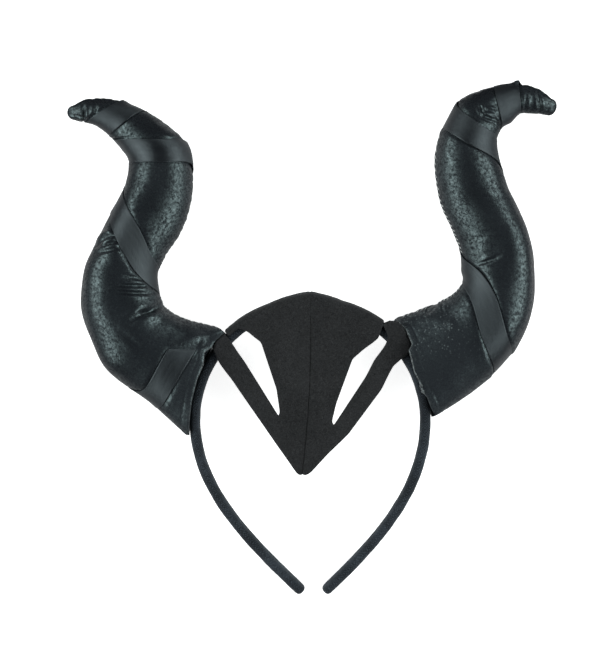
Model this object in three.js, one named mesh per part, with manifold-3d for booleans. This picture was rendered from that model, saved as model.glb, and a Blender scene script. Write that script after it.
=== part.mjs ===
// Horned costume headband, lying on its back as it rests on a table.
// A cloth-wrapped hoop carries two stuffed leatherette horns, each wound with a satin ribbon,
// and a forehead peak of two felt halves that meet along a middle seam.
// Millimetres. +Z is up and faces the way the wearer looks, +Y runs from the hoop's ends to the horn tips.
import * as THREE from "three";
import { mergeVertices } from "three/addons/utils/BufferGeometryUtils.js";
import Module from "manifold-3d";

const wasm = await Module();
wasm.setup();
const { clamp, degToRad, smoothstep } = THREE.MathUtils;

// Hoop: a crown arc that runs into two bent legs. x is from the whole thing's middle, y from the crown's centre line.
const HOOP_RADIUS = 61.2;
const HOOP_THICK = 5.6;
const HOOP_DEPTH = 10;
const CROWN = { x: -1, y: -62.2 };
const HOOP_END = { left: -5, right: 6.6, y: -154.6 };
const HOOP_WIDEST_PULL = 34.5; // how far the widest part runs on before the legs turn in
const HOOP_END_PULL = { x: 32.8, y: 31 }; // the way the legs run into their ends
const HOOP_SQUARENESS = 2.8; // exponent of the rounded section: 2 is an ellipse
const HOOP_SIDES = 12;
const HOOP_STEPS = 42;
const END_SHARES = [0, 0.1, 0.4]; // extra stations where the ends round off
const END_FLAT = 0.3;

// Rest: the hoop leans down from the horns until its two ends touch the table.
const PIVOT_Y = -45;
const PIVOT_HEIGHT = 18;
const TABLE_GAP = 0.06;
const HOOP_REACH = PIVOT_Y - HOOP_END.y - HOOP_THICK / 2;
const HOOP_LEAN = Math.asin((PIVOT_HEIGHT - HOOP_DEPTH / 2 - TABLE_GAP) / HOOP_REACH);

// Peak: felt halves that lie on the hoop's front, fold over its crown and bulge forward below it.
const FELT = 1.4;
const FELT_GAP = 0.3;
const SEAM_GAP = 0.3;
const DOME_RADIUS = 58;
const DOME_RISE = 16;
const DOME_FULLNESS = 1.5;
const RIDGE_SLOPE = 0.15; // how steeply each half falls away from the seam
const CROWN_INSIDE = HOOP_RADIUS + HOOP_THICK / 2 + FELT_GAP;
const CROWN_OUTSIDE = CROWN_INSIDE + FELT;
const CROWN_FOLD_SPAN = degToRad(36.5);
const CROWN_FOLD_BACK = -4; // the fold over the crown ends this far behind the hoop's middle plane
const CROWN_FOLD_STEPS = 12;
const TENT_RISE = 2.6; // the seam's stiff ridge holds the felt this far off the crown, like the ridge of a tent
const TENT_SPAN = degToRad(25);
const FELT_CELL = 6.5; // size of the felt's facets

// Seam between the halves, as a curve from the crown to the point.
const SEAM_TOP = { x: CROWN.x, y: CROWN_OUTSIDE + TENT_RISE + CROWN.y };
const SEAM_PULL = { x: 0.6, y: -40 };
const SEAM_POINT = { x: -5, y: -89.5 };

// Free edge of each half from the end of the crown fold, round the slit and the leg, to the point.
const LEFT_EDGE = [
  [-33.9, -14.3], [-27, -20.4], [-18.6, -45.6], [-16.8, -57.8], [-17.6, -60.1],
  [-42, -20.8], [-46.6, -15.8], [-52.6, -21.6], [-49.3, -30.4], [-8, -90.1], [-6.4, -91.4],
];
const RIGHT_EDGE = [
  [35.1, -17.6], [21.2, -29.7], [12.7, -52.7], [10.3, -62.8], [11.4, -64.9],
  [28.6, -38.7], [33, -30], [38.8, -21.2], [39.4, -14.6], [40.2, -9.4], [45.2, -9.2], [50.4, -23.5], [46.1, -29.7],
  [42.9, -32.6], [36.6, -45.6], [19.1, -69.2], [8, -80], [-1.1, -90.1], [-3.7, -91.4],
];

// Horns: stations along the middle line and points around each section.
const HORN_SIDES = 24;
const HORN_STATIONS = 50;
const TIP_CAP = 4;
const TIP_CAP_SHARES = [0.5, 0.85, 0.98];
const BASE_EDGE = 1.6; // the base hem rounds in over this length
const BASE_EDGE_SIZE = 0.95;
const LEFT_BASE_CORNER = 4; // the left base's upper corner laps this far over the hoop
const CORNER_SHARPNESS = 6;
const SADDLE_GAP = 0.35; // between a horn's base and the hoop that it straddles

// Ribbon: a satin strip in a shallow groove that it pulls into the stuffing.
const RIBBON_WIDTH = 13.2;
const RIBBON_THICK = 1;
const RIBBON_GAP = 0.35;
const GROOVE_DEPTH = 0.9;
const GROOVE_MARGIN = 3; // flat of the groove beyond each edge of the ribbon
const GROOVE_SHOULDER = 5;
const GROOVE_OVERRUN = 0.08; // turns that the groove runs on past the ribbon's ends
const RIBBON_STEPS_PER_TURN = 21;
const RIBBON_COLUMNS = 4;

const named = (columns, rows) =>
  rows.map((row) => Object.fromEntries(columns.split(" ").map((name, i) => [name, row[i]])));

// One row for each section, from the base on the hoop to the tip. heading is the way the horn grows there,
// in degrees from +X, and height is the section's middle above the table.
const SECTION = "x y heading width depth height";
const LEFT_SECTIONS = named(SECTION, [
  [-59.6, -41.3, 166, 59, 26, 18],
  [-76, -31, 156, 48.2, 34, 17],
  [-89, -22.3, 143, 45.4, 37, 17.5],
  [-97.8, -11.1, 120, 42.3, 38, 18],
  [-101.5, 1.3, 105, 42.4, 38, 18],
  [-101.2, 17, 87, 38.7, 37, 17.5],
  [-95.4, 29.8, 72, 35.6, 35, 16.5],
  [-87.7, 42.9, 70, 37.8, 35, 16.5],
  [-81.6, 57.8, 77, 36.6, 34, 16],
  [-80.2, 70, 90, 33.8, 32, 15],
  [-82.2, 80.8, 105, 31.7, 30, 14],
  [-90.4, 89.4, 121, 26.5, 26, 12.5],
  [-99.9, 96.5, 134, 21.4, 21, 11],
  [-110, 100.8, 150, 16.2, 16, 10],
  [-118.7, 102, 165, 12.1, 12, 9],
  [-126, 101.2, 178, 8, 8, 8.5],
]);
const RIGHT_SECTIONS = named(SECTION, [
  [54.9, -32.9, 20, 54, 26, 18],
  [70.8, -26, 25, 51.4, 34, 17],
  [84.5, -16.7, 36, 46.3, 37, 17.5],
  [93.8, -6.4, 48, 42.8, 38, 18],
  [98.1, 4, 64, 40.1, 38, 18],
  [98.4, 17.5, 87, 38.5, 37, 17.5],
  [97.2, 29.6, 97, 37.8, 37, 17.5],
  [92.2, 44.1, 105, 37.6, 36, 17],
  [86.2, 57.2, 105, 36.5, 34, 16],
  [82.7, 72.1, 99, 34.3, 32, 15],
  [82.4, 84.3, 91, 31.4, 30, 14],
  [85.1, 93.5, 76, 27.9, 27, 13],
  [90.6, 101, 57, 26.4, 24, 11.5],
  [99.4, 105.2, 36, 22.4, 20, 10.5],
  [108.7, 108.8, 19, 16.4, 15.5, 9.5],
  [120, 107.1, -8, 11.8, 11.5, 9],
  [126.4, 104.1, -13, 7, 7, 8.5],
]);

// How far along the horn the ribbon's middle lies at each turn. A whole turn faces up, a quarter more is the
// left-hand side as the horn grows, and a half is underneath.
const WINDING = "turn along";
const LEFT_WINDING = named(WINDING, [
  [-0.25, 10], [0, 16], [0.25, 23], [0.75, 69], [1, 97], [1.25, 114], [1.75, 142],
  [2, 147], [2.25, 158], [2.75, 174], [3, 179], [3.25, 184], [3.5, 188],
]);
const RIGHT_WINDING = named(WINDING, [
  [-0.75, 18], [-0.5, 27], [-0.25, 36.5], [0, 45], [0.25, 74], [0.75, 134], [1, 149],
  [1.25, 155], [1.75, 170], [2, 177], [2.25, 180], [2.4, 182],
]);

// Main creases of the stuffed skin: the place along and around, the half angle that each spans, its depth and width.
const FOLD = "along around span depth width";
const LEFT_FOLDS = named(FOLD, [
  [53, -62, 48, 2.6, 5],
  [74, -38, 50, 1.2, 4],
  [81, -30, 46, 1, 4],
  [98, 52, 40, 1.3, 4],
]);
const RIGHT_FOLDS = named(FOLD, [
  [66, 62, 40, 1.2, 4.5],
  [78, 40, 50, 1.6, 4.5],
  [165, -42, 46, 1.3, 4],
]);

const cloth = new THREE.MeshStandardMaterial({ color: 0x2c3237, roughness: 0.95, metalness: 0 });
const leatherette = new THREE.MeshStandardMaterial({ color: 0x24282b, roughness: 0.5, metalness: 0 });
const satin = new THREE.MeshStandardMaterial({ color: 0x3a4044, roughness: 0.45, metalness: 0 });
const felt = new THREE.MeshStandardMaterial({ color: 0x26292b, roughness: 1, metalness: 0 });

// A closed solid through rings of points, with a fan over each end.
function loft(rings) {
  const sides = rings[0].length;
  const points = rings.flat();
  const index = [];
  for (let first = 0; first + sides < points.length; first += sides) {
    for (let i = 0; i < sides; i++) {
      const a = first + i;
      const b = first + ((i + 1) % sides);
      index.push(a, b, a + sides, b, b + sides, a + sides);
    }
  }
  const lastRing = points.length - sides;
  for (const first of [0, lastRing]) {
    const middle = points.length;
    const centre = new THREE.Vector3();
    for (let i = 0; i < sides; i++) centre.addScaledVector(points[first + i], 1 / sides);
    points.push(centre);
    for (let i = 0; i < sides; i++) {
      const a = first + i;
      const b = first + ((i + 1) % sides);
      if (first === 0) index.push(middle, b, a);
      else index.push(middle, a, b);
    }
  }
  const geometry = new THREE.BufferGeometry().setFromPoints(points).setIndex(index);
  if (signedVolume(geometry) < 0) geometry.index.array.reverse();
  return geometry;
}

function signedVolume(geometry) {
  const { position } = geometry.attributes;
  const index = geometry.index.array;
  const corner = (i) => new THREE.Vector3().fromBufferAttribute(position, index[i]);
  let volume = 0;
  for (let i = 0; i < index.length; i += 3) volume += corner(i).dot(corner(i + 1).cross(corner(i + 2))) / 6;
  return volume;
}

function toSolid(geometry) {
  const bare = geometry.clone();
  bare.deleteAttribute("normal");
  bare.deleteAttribute("uv");
  const merged = mergeVertices(bare, 1e-4);
  const triVerts = new Uint32Array(merged.index.array);
  const mesh = new wasm.Mesh({ numProp: 3, vertProperties: merged.attributes.position.array, triVerts });
  return new wasm.Manifold(mesh);
}

function toGeometry(solid) {
  const mesh = solid.getMesh();
  return new THREE.BufferGeometry()
    .setAttribute("position", new THREE.BufferAttribute(mesh.vertProperties, 3))
    .setIndex(new THREE.BufferAttribute(mesh.triVerts, 1));
}

function piece(name, geometry, material) {
  const mesh = new THREE.Mesh(geometry, material);
  mesh.name = name;
  return mesh;
}

// Hoop

function hoopPath() {
  const { left, right, y } = HOOP_END;
  const pullY = y + HOOP_END_PULL.y;
  const widestY = CROWN.y - HOOP_WIDEST_PULL;
  const [widestLeft, widestRight] = [CROWN.x - HOOP_RADIUS, CROWN.x + HOOP_RADIUS];
  const path = new THREE.Path();
  path.moveTo(left, y);
  path.bezierCurveTo(left - HOOP_END_PULL.x, pullY, widestLeft, widestY, widestLeft, CROWN.y);
  path.absarc(CROWN.x, CROWN.y, HOOP_RADIUS, Math.PI, 0, true);
  path.bezierCurveTo(widestRight, widestY, right + HOOP_END_PULL.x, pullY, right, y);
  return path;
}

// The wrapped hoop or, with a margin, the room that it takes up.
function hoopGeometry(margin = 0) {
  const path = hoopPath();
  const length = path.getLength();
  const endRound = HOOP_THICK / 2;
  const body = Array.from({ length: HOOP_STEPS + 1 }, (_, i) => i / HOOP_STEPS);
  const stations = [
    ...END_SHARES.map((share) => share * endRound),
    ...body.map((share) => endRound + share * (length - 2 * endRound)),
    ...END_SHARES.map((share) => length - share * endRound).reverse(),
  ];
  const rounded = (value) => Math.sign(value) * Math.abs(value) ** (2 / HOOP_SQUARENESS);
  const rings = stations.map((station) => {
    const point = path.getPointAt(station / length);
    const tangent = path.getTangentAt(station / length);
    const fromEnd = Math.min(1, station / endRound, (length - station) / endRound);
    const size = END_FLAT + (1 - END_FLAT) * Math.sqrt(1 - (1 - fromEnd) ** 2);
    return Array.from({ length: HOOP_SIDES }, (_, i) => {
      const angle = ((i + 0.5) / HOOP_SIDES) * 2 * Math.PI;
      const across = ((HOOP_THICK / 2) * size + margin) * rounded(Math.cos(angle));
      const up = ((HOOP_DEPTH / 2) * size + margin) * rounded(Math.sin(angle));
      return new THREE.Vector3(point.x - tangent.y * across, point.y + tangent.x * across, up);
    });
  });
  return loft(rings);
}

// Peak

function seamX(y) {
  const t = clamp((SEAM_TOP.y - y) / (SEAM_TOP.y - SEAM_POINT.y), 0, 1);
  return (1 - t) ** 2 * SEAM_TOP.x + 2 * t * (1 - t) * SEAM_PULL.x + t ** 2 * SEAM_POINT.x;
}

// The outline is the one seen from straight above, so the sides of its prism lean back against the hoop's lean.
const UPRIGHT_FROM_HOOP = new THREE.Matrix4().makeShear(0, 0, 0, 0, 0, Math.tan(HOOP_LEAN));

// Height of the felt's middle over the hoop's middle plane.
function peakHeight(x, y) {
  const fromCentre = Math.min(1, Math.hypot(x - CROWN.x, y - CROWN.y) / DOME_RADIUS);
  const rise = DOME_RISE - RIDGE_SLOPE * Math.abs(x - seamX(y));
  return HOOP_DEPTH / 2 + FELT_GAP + FELT / 2 + rise * (1 - fromCentre ** 2) ** DOME_FULLNESS;
}

// The felt's line over the crown, from the seam to where the fold ends. side is -1 for the left, 1 for the right.
function crownLine(side, radius) {
  const first = SEAM_GAP / 2 / CROWN_OUTSIDE;
  return Array.from({ length: CROWN_FOLD_STEPS + 1 }, (_, i) => {
    const angle = first + (i / CROWN_FOLD_STEPS) * (CROWN_FOLD_SPAN - first);
    const reach = radius + TENT_RISE * Math.max(0, 1 - angle / TENT_SPAN);
    return new THREE.Vector2(CROWN.x + side * reach * Math.sin(angle), CROWN.y + reach * Math.cos(angle));
  });
}

function peakGeometry(side, edge) {
  const away = (side * SEAM_GAP) / 2;
  const outerLine = crownLine(side, CROWN_OUTSIDE);
  const outline = new THREE.Shape(outerLine);
  const top = outerLine[0];
  for (const [x, y] of edge) outline.lineTo(x, y);
  outline.lineTo(SEAM_POINT.x + away, SEAM_POINT.y);
  outline.quadraticCurveTo(SEAM_PULL.x + away, SEAM_PULL.y, top.x, top.y);
  const prism = new THREE.ExtrudeGeometry(outline, { depth: 4 * DOME_RISE, bevelEnabled: false });
  prism.applyMatrix4(UPRIGHT_FROM_HOOP);

  const { min, max } = new THREE.Box2().setFromPoints(outline.getPoints());
  const columns = Math.round((max.x - min.x) / FELT_CELL);
  const rows = Math.round((max.y - min.y) / FELT_CELL);
  const sheet = new THREE.BoxGeometry(max.x - min.x + 2, max.y - min.y + 8, FELT, columns, rows);
  sheet.translate((min.x + max.x) / 2, (min.y + max.y) / 2, 0);
  const { position } = sheet.attributes;
  for (let i = 0; i < position.count; i++) {
    position.setZ(i, position.getZ(i) + peakHeight(position.getX(i), position.getY(i)));
  }

  const fold = new THREE.Shape([...outerLine, ...crownLine(side, CROWN_INSIDE).reverse()]);
  const foldDepth = HOOP_DEPTH / 2 + FELT_GAP + FELT - CROWN_FOLD_BACK;
  const overCrown = new THREE.ExtrudeGeometry(fold, { depth: foldDepth, bevelEnabled: false });
  overCrown.translate(0, 0, CROWN_FOLD_BACK);

  return toGeometry(toSolid(sheet).intersect(toSolid(prism)).add(toSolid(overCrown)));
}

// Horns and their ribbons

class Horn {
  constructor({ sections, winding, folds, baseCorner }) {
    const places = sections.map(({ x, y, height }) => new THREE.Vector3(x, y, height));
    const shapes = sections.map(({ heading, width, depth }) => new THREE.Vector3(heading, width, depth));
    this.middle = new THREE.CatmullRomCurve3(places, false, "catmullrom");
    this.shape = new THREE.CatmullRomCurve3(shapes, false, "catmullrom");
    this.middle.arcLengthDivisions = 400;
    this.length = this.middle.getLength();
    this.winding = winding;
    this.folds = folds;
    this.baseCorner = baseCorner;
  }

  section(along) {
    const t = this.middle.getUtoTmapping(clamp(along / this.length, 0, 1));
    const { x: heading, y: width, z: depth } = this.shape.getPoint(t);
    const forward = new THREE.Vector3(Math.cos(degToRad(heading)), Math.sin(degToRad(heading)), 0);
    const pastEnd = along - clamp(along, 0, this.length);
    const centre = this.middle.getPoint(t).addScaledVector(forward, pastEnd);
    return { centre, heading, halfWidth: width / 2, halfDepth: depth / 2 };
  }

  // A point of the skin at a turn around the section, moved out by offset and kept above the floor.
  point(along, turn, { offset = 0, floor = 0, size = 1 } = {}) {
    const { centre, heading, halfWidth, halfDepth } = this.section(along);
    const angle = turn * 2 * Math.PI;
    const left = degToRad(heading + 90);
    const across = size * (halfWidth + offset) * Math.sin(angle);
    const up = size * (halfDepth + offset) * Math.cos(angle);
    const z = Math.max(floor, centre.z + up);
    return new THREE.Vector3(centre.x + Math.cos(left) * across, centre.y + Math.sin(left) * across, z);
  }

  // Length of skin that one whole turn passes at this place, and that one millimetre of the middle line spans.
  stretch(along, turn) {
    const here = this.section(along);
    const bend = degToRad(this.section(along + 1).heading - this.section(along - 1).heading) / 2;
    const angle = turn * 2 * Math.PI;
    const around = Math.hypot(here.halfWidth * Math.cos(angle), here.halfDepth * Math.sin(angle));
    return { perTurn: 2 * Math.PI * around, perAlong: 1 - bend * here.halfWidth * Math.sin(angle) };
  }

  // The ribbon's place along the horn: a smooth curve through the winding's rows.
  ribbonAlong(turn) {
    const rows = this.winding;
    const last = rows.length - 1;
    const steepness = (i) => {
      const before = rows[Math.max(0, i - 1)];
      const after = rows[Math.min(last, i + 1)];
      return (after.along - before.along) / (after.turn - before.turn);
    };
    let i = rows.findIndex((row) => row.turn > turn) - 1;
    if (i === -2) i = last - 1;
    i = Math.max(0, i);
    const span = rows[i + 1].turn - rows[i].turn;
    const t = (turn - rows[i].turn) / span;
    const start = rows[i].along * (1 + 2 * t) * (1 - t) ** 2 + steepness(i) * span * t * (1 - t) ** 2;
    const end = rows[i + 1].along * t ** 2 * (3 - 2 * t) + steepness(i + 1) * span * t ** 2 * (t - 1);
    return start + end;
  }

  ribbonLean(turn) {
    const step = 0.01;
    return (this.ribbonAlong(turn + step) - this.ribbonAlong(turn - step)) / (2 * step);
  }

  // 1 under the ribbon and a little beyond its edges, falling to 0 over the groove's shoulders.
  grooveShare(along, turn) {
    const first = this.winding[0].turn - GROOVE_OVERRUN;
    const last = this.winding.at(-1).turn + GROOVE_OVERRUN;
    let nearest = Infinity;
    for (let lap = turn + Math.ceil(first - turn); lap <= last; lap++) {
      const { perTurn, perAlong } = this.stretch(along, turn);
      const lean = (this.ribbonLean(lap) * perAlong) / perTurn;
      nearest = Math.min(nearest, (Math.abs(along - this.ribbonAlong(lap)) * perAlong) / Math.hypot(1, lean));
    }
    const flat = RIBBON_WIDTH / 2 + GROOVE_MARGIN;
    return 1 - smoothstep(nearest, flat, flat + GROOVE_SHOULDER);
  }

  foldDepth(along, turn) {
    let total = 0;
    for (const { along: place, around, span, depth, width } of this.folds) {
      const away = THREE.MathUtils.euclideanModulo(turn * 360 - around + 180, 360) - 180;
      const fade = 1 - smoothstep(Math.abs(away), span / 2, span);
      total += depth * fade * Math.exp(-(((along - place) / width) ** 2));
    }
    return total;
  }

  skinGeometry() {
    const body = Array.from({ length: HORN_STATIONS + 1 }, (_, i) => i / HORN_STATIONS);
    const cornerShare = (turn) => Math.max(0, -Math.sin(turn * 2 * Math.PI)) ** CORNER_SHARPNESS;
    const stations = [
      { along: 0, size: BASE_EDGE_SIZE, corner: this.baseCorner },
      ...body.map((share) => ({ along: BASE_EDGE + share * (this.length - BASE_EDGE), size: 1 })),
      ...TIP_CAP_SHARES.map((share) => ({ along: this.length + share * TIP_CAP, size: Math.sqrt(1 - share ** 2) })),
    ];
    const rings = stations.map(({ along: station, size, corner = 0 }) =>
      Array.from({ length: HORN_SIDES }, (_, i) => {
        const turn = i / HORN_SIDES;
        const along = station - corner * cornerShare(turn);
        const groove = this.grooveShare(along, turn);
        const offset = -GROOVE_DEPTH * groove - this.foldDepth(along, turn);
        return this.point(along, turn, { offset, floor: groove * (RIBBON_THICK + RIBBON_GAP), size });
      }),
    );
    return loft(rings);
  }

  ribbonGeometry() {
    const first = this.winding[0].turn;
    const last = this.winding.at(-1).turn;
    const steps = Math.round((last - first) * RIBBON_STEPS_PER_TURN);
    const inside = { offset: RIBBON_GAP - GROOVE_DEPTH, floor: RIBBON_THICK };
    const outside = { offset: inside.offset + RIBBON_THICK, floor: 0 };
    const columns = Array.from({ length: RIBBON_COLUMNS + 1 }, (_, i) => i / RIBBON_COLUMNS - 0.5);
    const rings = Array.from({ length: steps + 1 }, (_, i) => {
      const turn = first + (i / steps) * (last - first);
      const along = this.ribbonAlong(turn);
      const { perTurn, perAlong } = this.stretch(along, turn);
      const lean = this.ribbonLean(turn) * perAlong;
      const steep = Math.hypot(lean, perTurn);
      const place = (share, layer) => {
        const across = share * RIBBON_WIDTH;
        const alongHere = along + (across * perTurn) / steep / perAlong;
        const turnHere = turn - (across * lean) / steep / perTurn;
        return this.point(alongHere, turnHere, layer);
      };
      const top = columns.map((share) => place(share, outside));
      const bottom = columns.map((share) => place(share, inside)).reverse();
      return [...top, ...bottom];
    });
    return loft(rings);
  }
}

// Assembly

const hoop = new THREE.Group();
hoop.position.set(0, PIVOT_Y, PIVOT_HEIGHT);
hoop.rotation.x = HOOP_LEAN;
hoop.add(
  piece("headband", hoopGeometry(), cloth),
  piece("peak_left", peakGeometry(-1, LEFT_EDGE), felt),
  piece("peak_right", peakGeometry(1, RIGHT_EDGE), felt),
);
for (const child of hoop.children) child.position.y = -PIVOT_Y;
hoop.updateMatrixWorld(true);

const hoopRoom = hoopGeometry(SADDLE_GAP);
hoopRoom.applyMatrix4(hoop.children[0].matrixWorld);
const hoopRoomSolid = toSolid(hoopRoom);

const assembly = new THREE.Group();
assembly.add(hoop);
const horns = {
  left: new Horn({
    sections: LEFT_SECTIONS,
    winding: LEFT_WINDING,
    folds: LEFT_FOLDS,
    baseCorner: LEFT_BASE_CORNER,
  }),
  right: new Horn({
    sections: RIGHT_SECTIONS,
    winding: RIGHT_WINDING,
    folds: RIGHT_FOLDS,
    baseCorner: 0,
  }),
};
for (const [side, horn] of Object.entries(horns)) {
  const skin = toGeometry(toSolid(horn.skinGeometry()).subtract(hoopRoomSolid));
  assembly.add(piece(`horn_${side}`, skin, leatherette));
  assembly.add(piece(`ribbon_${side}`, horn.ribbonGeometry(), satin));
}

// The origin is on the table, under the middle of the whole thing.
const extent = new THREE.Box3().setFromObject(assembly, true);
const middle = extent.getCenter(new THREE.Vector3());
assembly.position.set(-middle.x, -middle.y, -extent.min.z);

const headpiece = new THREE.Group();
headpiece.add(assembly);
export default headpiece;
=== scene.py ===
import math

import bpy
import numpy as np
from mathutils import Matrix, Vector
from mathutils.geometry import delaunay_2d_cdt


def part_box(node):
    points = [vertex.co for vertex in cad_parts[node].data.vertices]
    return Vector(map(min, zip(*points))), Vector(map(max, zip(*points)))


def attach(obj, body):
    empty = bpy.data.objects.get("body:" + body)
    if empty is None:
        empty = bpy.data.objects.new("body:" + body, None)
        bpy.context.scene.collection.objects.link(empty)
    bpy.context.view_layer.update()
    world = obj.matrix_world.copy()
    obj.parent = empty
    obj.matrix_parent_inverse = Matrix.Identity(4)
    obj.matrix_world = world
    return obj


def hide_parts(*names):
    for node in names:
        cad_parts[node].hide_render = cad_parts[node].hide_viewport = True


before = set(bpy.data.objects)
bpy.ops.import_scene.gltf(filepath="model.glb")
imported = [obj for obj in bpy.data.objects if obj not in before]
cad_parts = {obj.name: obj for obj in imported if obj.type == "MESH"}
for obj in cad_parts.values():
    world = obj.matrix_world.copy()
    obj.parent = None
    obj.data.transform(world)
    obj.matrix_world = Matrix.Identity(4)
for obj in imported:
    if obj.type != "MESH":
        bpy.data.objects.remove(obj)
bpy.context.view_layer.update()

# Hoop
# The hair hoop is a flat springy core in a sleeve of matt bluish-black cloth, glued shut at its two ends.
# It carries everything else, and it leans down from the horns until its ends touch the table.
# Sizes are in millimetres: x from the middle of the whole thing, y from the crown's centre line.
MM = 0.001
HOOP_RADIUS = 61.2
HOOP_THICK = 5.6
HOOP_DEPTH = 10.0
CROWN_X = -1.0
CROWN_Y = -62.2
HOOP_END_LEFT = -5.0
HOOP_END_RIGHT = 6.6
HOOP_END_Y = -154.6
WIDEST_PULL = 34.5
END_PULL_X = 32.8
END_PULL_Y = 31.0
HOOP_SQUARENESS = 2.8
PIVOT_Y = -45.0
PIVOT_HEIGHT = 18.0
TABLE_GAP = 0.06
HOOP_REACH = PIVOT_Y - HOOP_END_Y - HOOP_THICK / 2
HOOP_LEAN = math.asin((PIVOT_HEIGHT - HOOP_DEPTH / 2 - TABLE_GAP) / HOOP_REACH)
LEG_POINTS = 300
CROWN_POINTS = 400
FINE_POINTS = 4000
SLEEVE_STATIONS = 620
SLEEVE_SIDES = 44
SLEEVE_LUMPS = [[0.1, 2.0], [0.05, 0.7]]  # height and size of each layer of unevenness
SLEEVE_SEED = 3
LUMP_LENGTH = 3.0
LUMPS_ROUND = 9.0
LAP_HEIGHT = 0.22  # height of the lapped edge along the inside of the hoop
LAP_TURNS = (0.5, 0.68)
END_ROUND = 2.8
END_RINGS = 12
END_FLAT = 0.3
END_PLEATS = 9
END_PLEAT_DEPTH = 0.16
END_PLEAT_REACH = 7.0
GIRTH_SHARE = 0.88  # the rounded section's girth, as a share of its box
SLEEVE_DARK = (0.0066, 0.0090, 0.0121)
SLEEVE_PALE = (0.0390, 0.0496, 0.0620)
LUMP_SHIFT = 100.0
LUMP_START = 374761393
LUMP_PRIMES = (668265263, 2147483647, 1274126177)
LUMP_MIX = 1103515245


def leaned(points):
    """Points of the upright hoop, leaned about the horns' bases as it rests on the table."""
    x, y, z = np.moveaxis(np.asarray(points, float), -1, 0)
    up = y - PIVOT_Y
    sin, cos = math.sin(HOOP_LEAN), math.cos(HOOP_LEAN)
    return np.stack([x, PIVOT_Y + up * cos - z * sin, PIVOT_HEIGHT + up * sin + z * cos], axis=-1)


def bezier(start, pull_start, pull_end, end, count):
    t = np.linspace(0, 1, count)[:, None]
    start, pull_start, pull_end, end = (np.array(p, float) for p in (start, pull_start, pull_end, end))
    near = (1 - t) ** 3 * start + 3 * (1 - t) ** 2 * t * pull_start
    return near + 3 * (1 - t) * t**2 * pull_end + t**3 * end


def walk(path):
    """How far along a path each of its points lies."""
    steps = np.linalg.norm(np.diff(path, axis=0), axis=1)
    return np.concatenate([[0.0], np.cumsum(steps)])


def rows_at(places, walked, rows):
    """Rows read off at places along the walked distance."""
    return np.stack([np.interp(places, walked, column) for column in rows.T], axis=-1)


def evenly(path, count=None, spacing=None):
    """The same path with its points at even distances, and those distances."""
    walked = walk(path)
    if count is None:
        count = max(2, int(round(walked[-1] / spacing)) + 1)
    places = np.linspace(0, walked[-1], count)
    return rows_at(places, walked, path), places


def on_crown(reach, angle):
    """The place at a reach from the crown's centre, at an angle from the top."""
    return np.stack([CROWN_X + reach * np.sin(angle), CROWN_Y + reach * np.cos(angle)], axis=-1)


def hoop_path():
    """The hoop's middle line, from its left end over the crown to its right end."""
    widest_left, widest_right = CROWN_X - HOOP_RADIUS, CROWN_X + HOOP_RADIUS
    left_end, right_end = (HOOP_END_LEFT, HOOP_END_Y), (HOOP_END_RIGHT, HOOP_END_Y)
    left_pull = (HOOP_END_LEFT - END_PULL_X, HOOP_END_Y + END_PULL_Y)
    right_pull = (HOOP_END_RIGHT + END_PULL_X, HOOP_END_Y + END_PULL_Y)
    pull_y = CROWN_Y - WIDEST_PULL
    left = bezier(left_end, left_pull, (widest_left, pull_y), (widest_left, CROWN_Y), LEG_POINTS)
    right = bezier((widest_right, CROWN_Y), (widest_right, pull_y), right_pull, right_end, LEG_POINTS)
    crown = on_crown(HOOP_RADIUS, np.linspace(-math.pi / 2, math.pi / 2, CROWN_POINTS)[1:-1])
    return np.vstack([left, crown, right])


def lumps(points, size, seed):
    """Smooth uneven values from -1 to 1 over points, with lumps of about the given size."""
    scaled = np.asarray(points, float) / size + LUMP_SHIFT
    cell = np.floor(scaled).astype(np.int64)
    part = scaled - cell
    part = part * part * (3 - 2 * part)
    total = np.zeros(scaled.shape[:-1])
    for corner in np.ndindex(*(2,) * scaled.shape[-1]):
        mixed = np.full(scaled.shape[:-1], seed * LUMP_START, dtype=np.int64)
        share = np.ones(scaled.shape[:-1])
        for axis, (step, prime) in enumerate(zip(corner, LUMP_PRIMES)):
            mixed = (mixed ^ ((cell[..., axis] + step) * prime)) * LUMP_MIX
            mixed = (mixed ^ (mixed >> 15)) & 0xFFFFFFFF
            share = share * (part[..., axis] if step else 1 - part[..., axis])
        total += share * (mixed / 0x7FFFFFFF - 1.0)
    return total


def layered_lumps(points, layers, seed):
    """Lumps of several sizes added up, from each layer's height and size."""
    return sum(height * lumps(points, size, seed + i) for i, (height, size) in enumerate(layers))


def rings_to_faces(ring_count, sides):
    """Four-cornered faces between rings of points."""
    ring, side = np.meshgrid(np.arange(ring_count - 1), np.arange(sides), indexing="ij")
    ring, side = ring.ravel(), side.ravel()
    corners = [(ring, side), (ring, side + 1), (ring + 1, side + 1), (ring + 1, side)]
    return np.stack([r * sides + s % sides for r, s in corners], axis=-1)


def facing_out(points, faces):
    """The faces, all turned over if the closed shape that they make is inside out."""
    volume = 0.0
    for corners in (3, 4):
        same = np.array([face for face in faces if len(face) == corners])
        for i in range(1, corners - 1):
            a, b, c = (points[same[:, j]] for j in (0, i, i + 1))
            volume += np.einsum("ij,ij->", a, np.cross(b, c))
    return [face[::-1] for face in faces] if volume < 0 else faces


def closed_tube(rings):
    """Points and faces of a tube through rings, closed at both ends."""
    count, sides = rings.shape[:2]
    points = np.vstack([rings.reshape(-1, 3), rings[0].mean(axis=0), rings[-1].mean(axis=0)])
    first, last, top = count * sides, count * sides + 1, (count - 1) * sides
    start_cap = [[first, (i + 1) % sides, i] for i in range(sides)]
    end_cap = [[last, top + i, top + (i + 1) % sides] for i in range(sides)]
    return points, facing_out(points, rings_to_faces(count, sides).tolist() + start_cap + end_cap)


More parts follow.
